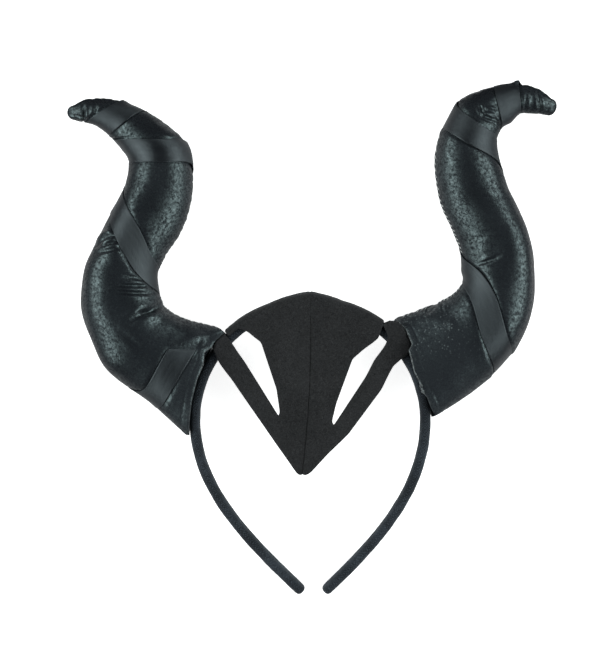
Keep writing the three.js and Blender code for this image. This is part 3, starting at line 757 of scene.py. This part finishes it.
def cut_hoop_channel(piece):
    """Takes the hoop's room out of a horn, where its base straddles the hoop."""
    rings, _ = hoop_rings(SADDLE_STATIONS, SADDLE_SIDES, SADDLE_GAP, cloth=False)
    room = make_piece("hoop_room", *closed_tube(rings))
    cut = piece.modifiers.new("channel", "BOOLEAN")
    cut.operation = "DIFFERENCE"
    cut.solver = "MANIFOLD"
    cut.object = room
    bpy.context.view_layer.update()
    graph = bpy.context.evaluated_depsgraph_get()
    mesh = bpy.data.meshes.new_from_object(piece.evaluated_get(graph))
    old = piece.data
    piece.modifiers.clear()
    piece.data = mesh
    bpy.data.meshes.remove(old)
    mesh.name = piece.name
    bpy.data.objects.remove(room)


horns = {
    "left": Horn(
        LEFT_SECTIONS, LEFT_WINDING, LEFT_BASE_EDGE, LEFT_CREASES, LEFT_PUFFS,
        ribbon_start=-0.09, seam_turn=0.76, seed=11,
    ),
    "right": Horn(
        RIGHT_SECTIONS, RIGHT_WINDING, RIGHT_BASE_EDGE, RIGHT_CREASES, RIGHT_PUFFS,
        ribbon_start=-0.75, seam_turn=0.225, seed=31,
    ),
}
skin_finish = leatherette()
for side, horn in horns.items():
    rings, from_edge = horn.skin()
    # A pale line along the hem's fold: rubbed wear, with a painted highlight on the fold.
    patches = 0.5 + 0.5 * lumps(rings, WEAR_AND_HIGHLIGHT_LUMP, WEAR_AND_HIGHLIGHT_SEED)
    hem_wear_and_highlight = soft_bump(from_edge - WEAR_AND_HIGHLIGHT_PLACE, WEAR_AND_HIGHLIGHT_WIDTH) * patches
    dust_full, dust_none, lint_share = DUST[side]
    dust = 1 - smooth_step(from_edge, dust_full, dust_none)
    lint = LINT_LEAST + lint_share * dust * smooth_step(rings[..., 1], *LINT_UPPER)
    values = {"wear": WEAR_AND_HIGHLIGHT_MOST * np.clip(hem_wear_and_highlight, 0, 1), "dust": dust, "lint": lint}
    values = {name: np.concatenate([number.ravel(), [0.0, 0.0]]) for name, number in values.items()}
    skin = make_piece(f"horn_skin_{side}", *closed_tube(rings), values)
    cut_hoop_channel(skin)
    skin.data.materials.clear()
    skin.data.materials.append(skin_finish)
    skin.data.shade_smooth()
    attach(skin, "root")
    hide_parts(f"horn_{side}")

# Seam stitches
# Grey sewing thread overcasts each horn's side seam from the base to the tip.
# Each stitch crosses the seam on a slant and sinks into the skin at both ends. None is made under the ribbon.
STITCH_PITCH = 2.9
STITCH_REACH = 1.25
STITCH_SLANT = 0.8
STITCH_RADIUS = 0.25
STITCH_SINK = 0.6
STITCH_STEPS = 7
STITCH_SIDES = 6
STITCH_HIDDEN = 0.02  # a stitch with more of it than this under the ribbon isn't made
THREAD_DARK = (0.20, 0.21, 0.21)
THREAD_PALE = (0.62, 0.64, 0.63)


def thread_tube(path, outward, radius):
    """Points and faces of a closed tube along a path, with outward the way off the skin at each step."""
    forward = np.gradient(path, axis=0)
    forward /= np.linalg.norm(forward, axis=1)[:, None]
    sideways = np.cross(forward, outward)
    sideways /= np.linalg.norm(sideways, axis=1)[:, None]
    upward = np.cross(sideways, forward)
    angle = (np.arange(STITCH_SIDES) / STITCH_SIDES * 2 * math.pi)[None, :, None]
    rounded = np.cos(angle) * sideways[:, None] + np.sin(angle) * upward[:, None]
    return closed_tube(path[:, None] + np.reshape(radius, (-1, 1, 1)) * rounded)


def joined(shapes):
    """Points and faces of several shapes as one."""
    points, faces = [], []
    for some_points, some_faces in shapes:
        start = sum(len(p) for p in points)
        points.append(some_points)
        faces += [[start + corner for corner in face] for face in some_faces]
    return np.vstack(points), faces


def seam_stitches(horn):
    shapes = []
    sweep = np.linspace(-1, 1, STITCH_STEPS)
    for place in np.arange(HEM_WIDTH, horn.length - TIP_CAP, STITCH_PITCH):
        along = place + STITCH_SLANT * sweep
        girth, _ = horn.stretch(along, np.full(STITCH_STEPS, horn.seam_turn))
        turn = horn.seam_turn + STITCH_REACH * sweep / girth
        offset, under = horn.offset(along, turn)
        if under.max() > STITCH_HIDDEN:
            continue
        sunk = STITCH_SINK * STITCH_RADIUS * np.abs(sweep) ** 3
        offset = np.maximum(offset, offset[[0, -1]].min()) - sunk
        path = horn.points(along, turn, offset)
        shapes.append(thread_tube(path, horn.points(along, turn, offset + 1) - path, STITCH_RADIUS))
    return joined(shapes)


def thread_finish():
    """Grey spun thread: fine twisted fibres, dulled by dust."""
    finish = Finish("grey_thread")
    twist = finish.noise(finish.solid(), 2600.0, 4.0)
    return finish.shade({
        "Base Color": finish.colour(twist, THREAD_DARK, THREAD_PALE, 0.35, 0.65),
        "Roughness": 0.75,
        "Sheen Weight": 0.2,
        "Normal": finish.bump(twist, 0.4, 0.0001),
    })


grey_thread = thread_finish()
for side, horn in horns.items():
    stitches = make_piece(f"seam_stitches_{side}", *seam_stitches(horn))
    stitches.data.materials.append(grey_thread)
    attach(stitches, "root")
    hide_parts(f"horn_{side}")

# Glue
# Clear glue holds each base's edge down on the hoop.
# It has squeezed out along the edge as a thin bead with a few lumps, and has dried dusty.
GLUE_SPACING = 0.0035
GLUE_EDGE = 0.7
GLUE_END = 0.03
GLUE_LUMPS = [[0.45, 1.1], [0.25, 0.5]]
GLUE_SEED = 70
GLUE_DARK = (0.026, 0.031, 0.034)
GLUE_PALE = (0.18, 0.205, 0.21)
# Columns share and thick: the place across the base as in the edge tables, and the bead's radius there.
LEFT_GLUE = [
    [-0.68, 0.18], [-0.6, 0.34], [-0.52, 0.18], [-0.36, 0.12], [-0.28, 0.42], [-0.22, 0.16], [0.1, 0.1],
]
RIGHT_GLUE = [
    [-0.55, 0.2], [-0.48, 0.8], [-0.42, 0.6], [-0.36, 0.9], [-0.3, 0.3], [-0.1, 0.4], [0.05, 0.26],
    [0.2, 0.36], [0.34, 0.2], [0.6, 0.28], [0.93, 0.2],
]


def glue_bead(horn, rows):
    shares, thicks = np.asarray(rows, float).T
    share = np.arange(shares[0], shares[-1], GLUE_SPACING)
    turn = np.arcsin(share) / (2 * math.pi)
    along = GLUE_EDGE + horn.edge_shift(np.full(len(share), GLUE_EDGE), turn)
    offset, _ = horn.offset(along, turn)
    path = horn.lapped(horn.points(along, turn, offset), turn)
    outward = horn.lapped(horn.points(along, turn, offset + 1), turn) - path
    uneven = 1 + layered_lumps(path, GLUE_LUMPS, horn.seed + GLUE_SEED)
    radius = np.interp(share, shares, thicks) * uneven
    radius[[0, -1]] = GLUE_END
    return thread_tube(path, outward, radius)


def dried_glue():
    """Dried clear glue, dusty grey, with a dull shine."""
    finish = Finish("dried_glue")
    cloud = finish.noise(finish.solid(), 700.0, 5.0)
    return finish.shade({
        "Base Color": finish.colour(cloud, GLUE_DARK, GLUE_PALE, 0.4, 0.66),
        "Roughness": finish.number(cloud, 0.3, 0.6),
        "Specular IOR Level": 0.4,
    })


glue_finish = dried_glue()
for side, rows in (("left", LEFT_GLUE), ("right", RIGHT_GLUE)):
    glue = make_piece(f"glue_bead_{side}", *glue_bead(horns[side], rows))
    glue.data.materials.append(glue_finish)
    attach(glue, "root")
    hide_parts(f"horn_{side}")

# Ribbons
# A charcoal satin ribbon is wound up each horn from the hem to near the tip, pulled tight and tucked in.
# It presses into the stuffing, its woven edges are a little thicker, and some edges stand off the skin.
RIBBON_STEPS_PER_TURN = 190
RIBBON_COLUMNS = 22
WIDTH_TRIES = 81
SELVAGE_RISE = 0.1
SELVAGE_SPAN = (0.455, 0.49)
RIPPLE_HEIGHT = 0.06
RIPPLE_SIZE = 0.35
RIPPLE_SEED = 40
RIPPLES_PER_TURN = 6.875
RIPPLE_SLANT = 1.2
RIPPLE_SPREAD = 3.2
TUCK_DEPTH = 0.8
TUCK_LENGTH = 2.4
LIFT_SPAN = (-0.1, 0.5)
SATIN_DARK = (0.0074, 0.0086, 0.0104)
SATIN_PALE = (0.0116, 0.0134, 0.0158)
# Columns turn, spread, edge and height: places where the ribbon stands off the skin. edge is -1 towards
# the base, 1 towards the tip and 0 for the whole width.
LEFT_LIFTS = [
    [1.76, 0.05, 0, 0.9], [2.80, 0.05, 1, 1.2], [3.0, 0.10, -1, 0.2], [2.06, 0.12, 1, 0.5],
    [1.27, 0.06, -1, 0.8],
]
RIGHT_LIFTS = [
    [2.25, 0.04, 1, 2.3], [1.25, 0.05, 1, 0.7], [0.98, 0.14, -1, 0.5], [0.12, 0.12, 1, 0.5],
    [0.74, 0.07, 0, 0.3],
]


def ribbon_layers(horn, lifts):
    """The ribbon's outer and inner points as (step, column), and its length."""
    first, last = horn.ribbon_start, horn.winding[-1][0]
    steps = int(round((last - first) * RIBBON_STEPS_PER_TURN)) + 1
    turn = np.linspace(first, last, steps)[:, None]
    along = winding_place(horn.winding, turn)
    girth, per_along = horn.stretch(along, turn)
    lean = horn.ribbon_lean(turn) * per_along
    steep = np.hypot(lean, girth)
    up_horn, round_horn = girth / steep / per_along, lean / steep / girth
    tries = np.linspace(-RIBBON_WIDTH, RIBBON_WIDTH, WIDTH_TRIES)
    skin = horn.plan(along + tries * up_horn, turn - tries * round_horn)
    widths = np.array([walk(row) for row in skin])
    widths -= widths[:, WIDTH_TRIES // 2, None]
    share = np.linspace(-0.5, 0.5, RIBBON_COLUMNS + 1)
    across = np.array([np.interp(share * RIBBON_WIDTH, row, tries) for row in widths])
    along_here, turn_here = along + across * up_horn, turn - across * round_horn
    tension = horn.stuffing(along_here, turn_here) * RIBBON_HOLD
    rolled = turn * RIPPLES_PER_TURN + share * RIPPLE_SLANT
    rolled = np.stack(np.broadcast_arrays(rolled, share * RIPPLE_SPREAD), axis=-1)
    ripple = RIPPLE_HEIGHT * lumps(rolled, RIPPLE_SIZE, horn.seed + RIPPLE_SEED)
    lift = np.zeros_like(across)
    for where, spread, edge, height in lifts:
        leaning = smooth_step(edge * share, *LIFT_SPAN) ** 2 if edge else 1.0
        lift += height * soft_bump(turn - where, spread) * leaning
    from_tuck = (turn - first) * girth - TUCK_SLANT * (across + RIBBON_WIDTH / 2)
    tucked = TUCK_DEPTH * (1 - smooth_step(from_tuck, -TUCK_LENGTH / 2, TUCK_LENGTH))
    inner = tension - RIBBON_PRESS + RIBBON_GAP + ripple + lift - tucked
    selvage = SELVAGE_RISE * smooth_step(np.abs(share), *SELVAGE_SPAN)
    top = horn.points(along_here, turn_here, inner + RIBBON_THICK + selvage)
    bottom = horn.points(along_here, turn_here, inner, RIBBON_THICK)
    middle = top[:, RIBBON_COLUMNS // 2]
    return top, bottom, np.linalg.norm(np.diff(middle, axis=0), axis=1).sum()


def satin():
    """Charcoal satin: fine cross ribs and a soft shine along the ribbon."""
    finish = Finish("satin")
    place = finish.cloth_place()
    ribs = {"Vector": place, "Scale": 640.0, "Distortion": 0.6, "Detail": 1.0}
    rib = finish.node("TexWave", "Fac", ribs, bands_direction="Y")
    stretched = finish.node("Mapping", "Vector", {"Vector": place, "Scale": (1, 0.12, 1)})
    streak = finish.noise(stretched, 900.0, 4.0)
    broad = finish.noise(finish.solid(), 45.0, 3.0)
    tone = finish.maths("MULTIPLY_ADD", broad, 0.7, streak)
    return finish.shade({
        "Base Color": finish.colour(tone, SATIN_DARK, SATIN_PALE, 0.6, 1.0),
        "Roughness": finish.number(streak, 0.40, 0.52, 0.3, 0.7),
        "Anisotropic": 0.85,
        "Tangent": finish.node("Tangent", "Tangent", direction_type="UV_MAP", uv_map="cloth_place"),
        "Specular IOR Level": 0.64,
        "Specular Tint": (0.80, 0.94, 1.0, 1),
        "Sheen Weight": 0.04,
        "Sheen Roughness": 0.4,
        "Sheen Tint": (0.8, 0.86, 0.9, 1),
        "Normal": finish.bump(finish.maths("ADD", rib, streak), 0.22, 0.00012),
    })


satin_finish = satin()
for side, lifts in (("left", LEFT_LIFTS), ("right", RIGHT_LIFTS)):
    top, bottom, ribbon_length = ribbon_layers(horns[side], lifts)
    points, faces = closed_tube(np.concatenate([top, bottom[:, ::-1]], axis=1))
    ribbon = make_piece(f"ribbon_satin_{side}", points, faces)
    ring_sides = 2 * (RIBBON_COLUMNS + 1)
    step_of, side_of = np.divmod(np.arange(len(points)), ring_sides)
    lengthways = np.minimum(step_of, len(top) - 1) / len(top) * ribbon_length
    widthways = np.minimum(side_of, ring_sides - 1 - side_of) / RIBBON_COLUMNS * RIBBON_WIDTH
    lay_cloth(ribbon, np.stack([widthways, lengthways], axis=-1))
    ribbon.data.materials.append(satin_finish)
    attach(ribbon, "root")
    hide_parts(f"ribbon_{side}")

# Peak
# The forehead peak is two pieces of matt black felt, each cut with one slit, sewn together down the middle.
# Its top edge folds over the hoop's crown, and its side strips are glued to the hoop beside the horns.
FELT = 1.3
FELT_GAP = 0.3
FELT_MIDDLE = 0.7  # from the felt's lower face to its middle, with some nap
FELT_NAP = [[0.07, 1.6], [0.12, 6.0]]  # height and size of each layer of unevenness
NAP_SEED = 61
FELT_LEVEL = HOOP_DEPTH / 2 + FELT_GAP + FELT_MIDDLE
DOME_RADIUS = 58.0
DOME_RISE = 16.0
DOME_FULLNESS = 1.5
DOME_ROUNDS = 4
RIDGE_SLOPE = 0.15
CROWN_BEND = 2.0
CROWN_QUARTER = CROWN_BEND * math.pi / 2
CROWN_BEND_START = HOOP_RADIUS + HOOP_THICK / 2 + FELT_GAP + FELT_MIDDLE - CROWN_BEND
CROWN_TURN_DOWN = 8.0
CROWN_RIM = CROWN_BEND_START + CROWN_QUARTER + CROWN_TURN_DOWN
CROWN_FLAT = (46.0, 56.0)  # reach over which the dome settles on the crown
CROWN_PRESS = 0.88  # the share of the seam's depth that the crown presses out
FOLD_END = 2.0  # where the cut edge leaves the fold, past the start of its bend
# Angles from the top on each side: the fold over the crown, the fold with its strip, and the seam's tent.
CROWN_FOLD_SPAN = {-1: math.radians(43.3), 1: math.radians(36.5)}
STRIP_FOLD_SPAN = {-1: math.radians(56), 1: math.radians(36.5)}
STRIP_FOLD_MORE = 0.02
TENT_SPREAD = {-1: math.radians(20), 1: math.radians(15)}
TENT_RISE = 2.6  # the seam's ridge holds the felt this far off the crown
SEAM_TOP = (-1.0, 6.1)
SEAM_PULL = (0.6, -40.0)
SEAM_POINT = (-5.0, -89.5)
SEAM_BEND = 0.85
SEAM_QUARTER = SEAM_BEND * math.pi / 2
SEAM_HALF_GAP = -0.2
SEAM_CONTACT = -0.03  # the stitches squeeze the halves together along the seam
SEAM_START = SEAM_HALF_GAP + FELT / 2 + SEAM_BEND
SEAM_ALLOWANCE = 2.4
SEAM_CUT = SEAM_START - SEAM_QUARTER - SEAM_ALLOWANCE
SEAM_POINTS = 120
CROWN_RIM_POINTS = 60
OUTLINE_SPACING = 0.9
OUTLINE_ROUNDS = 2
# Steps between the felt's points: plain, then across and along the seam and the fold, and their spans.
FELT_STEP = 1.35
SEAM_STEPS = (0.28, 0.8)
FOLD_STEPS = (0.45, 0.9)
SEAM_SPAN = (SEAM_CUT + 0.5, SEAM_START + 0.7)
FOLD_SPAN = (CROWN_BEND_START - 0.4, CROWN_BEND_START + CROWN_QUARTER + 0.5)
STEP_WANDER = 0.3
WANDER_SIZE = 0.9
WANDER_SEEDS = (51, 52)
# Room that the plain points leave beside the seam, the fold and the cut edge.
SEAM_ROOM = 0.9
FOLD_ROOM = 2.6
FOLD_LOWEST = CROWN_Y + 40
EDGE_ROOM = 0.42
MERGE_DISTANCE = 1e-5
TINY = 1e-6
FELT_DARK = (0.0068, 0.0072, 0.0078)
FELT_PALE = (0.0300, 0.0309, 0.0325)
# Columns x and y: each half's cut edge from the fold's end round its slit and strip to the point.
LEFT_EDGE = [
    [-44.1, -16.8], [-39.0, -12.5], [-33.9, -14.3], [-27, -20.4], [-18.6, -45.6], [-16.8, -57.8],
    [-17.6, -60.1], [-42, -20.8], [-48.6, -12.4], [-53.4, -20.2], [-52.6, -22.6], [-49.3, -30.4],
    [-8, -90.1], [-6.4, -91.4],
]
RIGHT_EDGE = [
    [35.1, -17.6], [21.2, -29.7], [12.7, -52.7], [10.3, -62.8], [11.4, -64.9], [28.6, -38.7],
    [33, -30], [38.8, -21.2], [40.4, -17.0], [37.9, -11.8], [38.4, -8.4], [45.4, -8.6],
    [47.9, -12.0], [52.6, -20.6], [52.8, -23.0], [50.8, -26.2], [46.1, -29.7], [42.9, -32.6],
    [36.6, -45.6], [19.1, -69.2], [8, -80], [-1.1, -90.1], [-3.7, -91.4],
]


def seam_x(y):
    """The middle seam's place across, at each y."""
    t = np.clip((SEAM_TOP[1] - y) / (SEAM_TOP[1] - SEAM_POINT[1]), 0, 1)
    return (1 - t) ** 2 * SEAM_TOP[0] + 2 * t * (1 - t) * SEAM_PULL[0] + t**2 * SEAM_POINT[0]


def dome(x, y):
    """Height of the felt's middle over the hoop's middle plane."""
    inward = np.minimum(1, np.hypot(x - CROWN_X, y - CROWN_Y) / DOME_RADIUS)
    rise = DOME_RISE - RIDGE_SLOPE * np.abs(x - seam_x(y))
    return FELT_LEVEL + rise * (1 - inward**2) ** DOME_FULLNESS


def tent(angle, side):
    """How far the seam's ridge holds the felt off the crown, at an angle from the top."""
    return TENT_RISE * np.maximum(0, 1 - np.abs(angle) / TENT_SPREAD[side])


def felt_outline(side, edge):
    """The flat cut of one half, as points every millimetre or so, with soft corners."""
    angle = np.linspace(0.0, CROWN_FOLD_SPAN[side], CROWN_RIM_POINTS) * side
    arc = on_crown(CROWN_RIM + tent(angle, side), angle)
    fold_end = on_crown(CROWN_BEND_START + FOLD_END, angle[-1])
    seam_y = np.linspace(SEAM_POINT[1], CROWN_Y + CROWN_RIM + TENT_RISE, SEAM_POINTS)
    seam_line = np.stack([seam_x(seam_y) + side * SEAM_CUT, seam_y], axis=-1)
    arc[0] = seam_line[-1]
    path = np.vstack([arc, fold_end, np.array(edge), seam_line, arc[:1]])
    path = evenly(path, spacing=OUTLINE_SPACING)[0][:-1]
    for _ in range(OUTLINE_ROUNDS):
        path = 0.25 * np.roll(path, 1, axis=0) + 0.5 * path + 0.25 * np.roll(path, -1, axis=0)
    return path


def inside(points, outline):
    """Which points lie in a closed outline."""
    x, y = points.T
    found = np.zeros(len(points), bool)
    for (ax, ay), (bx, by) in zip(outline, np.roll(outline, -1, axis=0)):
        if ay == by:
            continue
        crosses = (ay > y) != (by > y)
        found ^= crosses & (x < (bx - ax) * (y - ay) / (by - ay) + ax)
    return found


def felt_shape(side, flat):
    """Where each point of the flat cut lies once it is sewn, domed and folded over the crown."""
    x, y = flat.T
    off_seam = side * (x - seam_x(y))
    into = np.maximum(0, SEAM_START - off_seam)
    bent = np.minimum(into / SEAM_BEND, math.pi / 2)
    sewn = np.where(into > 0, SEAM_START - SEAM_BEND * np.sin(bent), off_seam)
    sunk = SEAM_BEND * (1 - np.cos(bent)) + np.maximum(0, into - SEAM_QUARTER)
    x = seam_x(y) + side * sewn
    out = np.stack([x - CROWN_X, y - CROWN_Y], axis=-1)
    radius = np.hypot(*out.T)
    out /= np.maximum(radius, TINY)[:, None]
    from_top = np.abs(np.arctan2(*out.T))
    bend_start = CROWN_BEND_START + tent(from_top, side)
    folds = from_top < STRIP_FOLD_SPAN[side] + STRIP_FOLD_MORE
    over = np.where(folds, np.maximum(0, radius - bend_start), 0.0)
    turned = np.minimum(over / CROWN_BEND, math.pi / 2)
    over_crown = smooth_step(radius, *CROWN_FLAT) * (y > CROWN_Y)
    sunk = sunk * (1 - CROWN_PRESS * over_crown)
    level_y = y
    for _ in range(DOME_ROUNDS):
        level_y = y + dome(x, level_y) * math.tan(HOOP_LEAN) * (1 - over_crown)
    level = np.where(over > 0, FELT_LEVEL, dome(x, level_y))
    fallen = CROWN_BEND * (1 - np.cos(turned)) + np.maximum(0, over - CROWN_QUARTER)
    reach = bend_start + CROWN_BEND * np.sin(turned)
    placed_x = np.where(over > 0, CROWN_X + out[:, 0] * reach, x) - sunk * out[:, 0] * np.sin(turned)
    placed_y = np.where(over > 0, CROWN_Y + out[:, 1] * reach, level_y) - sunk * out[:, 1] * np.sin(turned)
    return np.stack([placed_x, placed_y, level - fallen - sunk * np.cos(turned)], axis=-1)


def crossed(columns, rows):
    """Every pair of a column and a row."""
    return np.stack(np.meshgrid(columns, rows), axis=-1).reshape(-1, 2)


def felt_spots(side, outline):
    """Points inside one half's cut, closer together along the seam's bend and the crown's fold."""
    low, high = outline.min(axis=0), outline.max(axis=0)
    plain = crossed(*(np.arange(low[i], high[i], FELT_STEP) for i in range(2)))
    wander = np.stack([lumps(plain, WANDER_SIZE, seed) for seed in WANDER_SEEDS], axis=-1)
    plain = plain + STEP_WANDER * wander
    seam_places = np.arange(*SEAM_SPAN, SEAM_STEPS[0])
    off_seam, seam_y = crossed(seam_places, np.arange(low[1], high[1], SEAM_STEPS[1])).T
    seam = np.stack([seam_x(seam_y) + side * off_seam, seam_y], axis=-1)
    fold_reach = np.arange(*FOLD_SPAN, FOLD_STEPS[0])
    fold_angle = np.arange(0.0, STRIP_FOLD_SPAN[side], FOLD_STEPS[1] / CROWN_BEND_START) * side
    reach, angle = crossed(fold_reach, fold_angle).T
    fold = on_crown(reach + tent(angle, side), angle)
    out_x, out_y = (plain - [CROWN_X, CROWN_Y]).T
    from_bend = np.hypot(out_x, out_y) - tent(np.arctan2(out_x, out_y), side) - fold_reach.mean()
    by_fold = (np.abs(from_bend) < FOLD_ROOM) & (plain[:, 1] > FOLD_LOWEST)
    plain = plain[~by_fold]
    plain, fold = (
        spots[side * (spots[:, 0] - seam_x(spots[:, 1])) > SEAM_START + SEAM_ROOM] for spots in (plain, fold)
    )
    spots = np.vstack([plain, seam, fold])
    spots = spots[inside(spots, outline)]
    away = np.full(len(spots), FAR)
    for spot in outline:
        away = np.minimum(away, np.hypot(*(spots - spot).T))
    return spots[away > EDGE_ROOM]


def felt_triangles(outline, spots):
    """The flat cut's points, its triangles, all turned the same way, and its area."""
    corners = [Vector(p) for p in np.vstack([outline, spots])]
    found = delaunay_2d_cdt(corners, [], [list(range(len(outline)))], 1, MERGE_DISTANCE)
    flat, triangles = (np.array([tuple(row) for row in found[i]]) for i in (0, 2))
    a, b, c = (flat[triangles[:, i]] for i in range(3))
    turn = (b[:, 0] - a[:, 0]) * (c[:, 1] - a[:, 1]) - (b[:, 1] - a[:, 1]) * (c[:, 0] - a[:, 0])
    triangles[turn < 0] = triangles[turn < 0][:, ::-1]
    return flat, triangles, np.abs(turn).sum() / 2


def facing(points, triangles):
    """The way that each point of a sheet of triangles faces."""
    a, b, c = (points[triangles[:, i]] for i in range(3))
    normal = np.zeros_like(points)
    for i in range(3):
        np.add.at(normal, triangles[:, i], np.cross(b - a, c - a))
    return normal / np.maximum(np.linalg.norm(normal, axis=1), TINY)[:, None]


def rim(triangles):
    """The pairs of points along a sheet's edge, which only one triangle holds."""
    pairs = {}
    for corners in triangles.tolist():
        for pair in zip(corners, corners[1:] + corners[:1]):
            if pairs.pop(pair[::-1], None) is None:
                pairs[pair] = True
    return list(pairs)


def felt_half(name, side, edge):
    """One half of the peak, and the area and size of its cut."""
    outline = felt_outline(side, edge)
    flat, triangles, area = felt_triangles(outline, felt_spots(side, outline))
    middle = felt_shape(side, flat)
    normal = facing(middle, triangles)
    top = middle + normal * (FELT / 2 + layered_lumps(middle, FELT_NAP, NAP_SEED))[:, None]
    seam_here = seam_x(flat[:, 1])
    top[:, 0] = seam_here + side * np.maximum(side * (top[:, 0] - seam_here), SEAM_CONTACT)
    bottom = middle - normal * (FELT / 2)
    count = len(middle)
    pairs = rim(triangles)
    faces = triangles.tolist() + (triangles[:, ::-1] + count).tolist()
    faces += [[b, a, a + count, b + count] for a, b in pairs]
    cut_edge = np.zeros(count)
    cut_edge[np.unique(pairs)] = 1.0
    piece = make_piece(name, leaned(np.vstack([top, bottom])), faces, {"cut_edge": np.tile(cut_edge, 2)})
    return piece, area, outline.max(axis=0) - outline.min(axis=0)


def black_felt():
    """Matt black felt: matted short fibres, a faint nap and slightly paler cut edges."""
    finish = Finish("black_felt")
    solid = finish.solid()
    fibres = finish.noise(solid, 700.0, 8.0, Roughness=0.7, Distortion=2.2)
    tone = finish.maths("MULTIPLY_ADD", finish.noise(solid, 55.0, 4.0), 0.2, fibres)
    tone = finish.maths("MULTIPLY_ADD", finish.value("cut_edge"), 0.05, tone)
    return finish.shade({
        "Base Color": finish.colour(tone, FELT_DARK, FELT_PALE, 0.45, 0.76),
        "Roughness": 1.0,
        "Specular IOR Level": 0.15,
        "Sheen Weight": 0.03,
        "Sheen Roughness": 0.6,
        "Sheen Tint": (0.75, 0.8, 0.8, 1),
        "Normal": finish.bump(fibres, 0.5, 0.0006),
    })


felt_finish = black_felt()
for side_name, side, edge in (("left", -1, LEFT_EDGE), ("right", 1, RIGHT_EDGE)):
    half, cut_area, cut_size = felt_half(f"felt_{side_name}", side, edge)
    half.data.materials.append(felt_finish)
    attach(half, "root")
    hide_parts(f"peak_{side_name}")

# Studio
# A plain white floor, two soft boxes low on the left and right, and an even overhead light with no shine.
# The horns' shine shows a grey card under the white paper, which keeps their rims from going pale.
# Sizes here are in metres, apart from the camera's.
FLOOR_FAR = 3.0
FLOOR_SIDES = 96
FLOOR_RINGS = (0.0005, 0.05, 0.1)
FLOOR_LEVEL = -0.0002
FLOOR_GLOW = 0.80
CARD_GLOW = 0.22
CARD_REACH = 0.17
SOFT_BOX_DISTANCE = 0.95
SOFT_BOX_HEIGHT = 0.52
SOFT_BOX_FORWARD = 0.05
SOFT_BOX_LONG = 1.85
SOFT_BOX_TALL = 0.72
SOFT_BOX_POWER = 18.0
SOFT_BOX_COLOUR = (0.95, 1.0, 0.99)
SOFT_BOX_AIM = (0, 0.03, 0.02)
OVERHEAD = 0.14
PHOTO_MIDDLE = (-6.56, 4.68)
PHOTO_HEIGHT = 349.8
CAMERA_LENS = 250.0
CAMERA_SENSOR = 36.0
CAMERA_LEVEL = 18.0


def round_sheet(name, level, reach, finish):
    """A round sheet that lies flat at the given level."""
    reaches = (*FLOOR_RINGS, reach)
    angle = np.arange(FLOOR_SIDES) / FLOOR_SIDES * 2 * math.pi
    flat = np.stack([np.cos(angle), np.sin(angle), np.zeros(FLOOR_SIDES)], axis=-1)
    rings = np.stack([flat * away + [0, 0, level] for away in reaches])
    mesh = bpy.data.meshes.new(name)
    mesh.from_pydata(rings.reshape(-1, 3).tolist(), [], rings_to_faces(len(reaches), FLOOR_SIDES).tolist())
    mesh.materials.append(finish)
    sheet = bpy.data.objects.new(name, mesh)
    bpy.context.scene.collection.objects.link(sheet)
    return sheet


def matt_sheet(name, dark, pale, roughness, shine, glow):
    """Matt paper or card, a little uneven, with an even glow."""
    finish = Finish(name)
    cloud = finish.node("TexNoise", "Fac", {"Scale": 3.0, "Detail": 2.0})
    return finish.shade({
        "Base Color": finish.colour(cloud, (dark,) * 3, (pale,) * 3),
        "Roughness": roughness,
        "Specular IOR Level": shine,
        "Emission Color": (1, 1, 1, 1),
        "Emission Strength": glow,
    })


white_paper = matt_sheet("white_paper", 0.90, 0.93, 0.9, 0.1, FLOOR_GLOW)
grey_card = matt_sheet("grey_card", 0.28, 0.32, 1.0, 0.0, CARD_GLOW)
floor = round_sheet("floor", FLOOR_LEVEL, FLOOR_FAR, white_paper)
floor.visible_glossy = False
card = round_sheet("card_under_floor", 2 * FLOOR_LEVEL, CARD_REACH, grey_card)
card.visible_camera = False
card.visible_diffuse = False
card.visible_shadow = False

for name, side in (("soft_box_left", -1), ("soft_box_right", 1)):
    light = bpy.data.lights.new(name, "AREA")
    light.shape = "RECTANGLE"
    light.size = SOFT_BOX_LONG
    light.size_y = SOFT_BOX_TALL
    light.energy = SOFT_BOX_POWER
    light.color = SOFT_BOX_COLOUR
    box = bpy.data.objects.new(name, light)
    box.location = (side * SOFT_BOX_DISTANCE, SOFT_BOX_FORWARD, SOFT_BOX_HEIGHT)
    aim = Vector(SOFT_BOX_AIM) - box.location
    box.rotation_euler = aim.to_track_quat("-Z", "Y").to_euler()
    bpy.context.scene.collection.objects.link(box)

world = bpy.data.worlds.new("overhead")
bpy.context.scene.world = world
world.use_nodes = True
world.node_tree.nodes["Background"].inputs["Color"].default_value = (1, 1, 1, 1)
world.node_tree.nodes["Background"].inputs["Strength"].default_value = OVERHEAD
world.cycles_visibility.glossy = False

camera_data = bpy.data.cameras.new("photo_camera")
camera_data.lens = CAMERA_LENS
camera_data.sensor_width = CAMERA_SENSOR
camera = bpy.data.objects.new("photo_camera", camera_data)
distance = PHOTO_HEIGHT * CAMERA_LENS / CAMERA_SENSOR
camera.location = Vector((*PHOTO_MIDDLE, CAMERA_LEVEL + distance)) * MM
camera.rotation_euler = (0, 0, 0)
bpy.context.scene.collection.objects.link(camera)
bpy.context.scene.camera = camera
bpy.context.scene.view_settings.view_transform = "Standard"
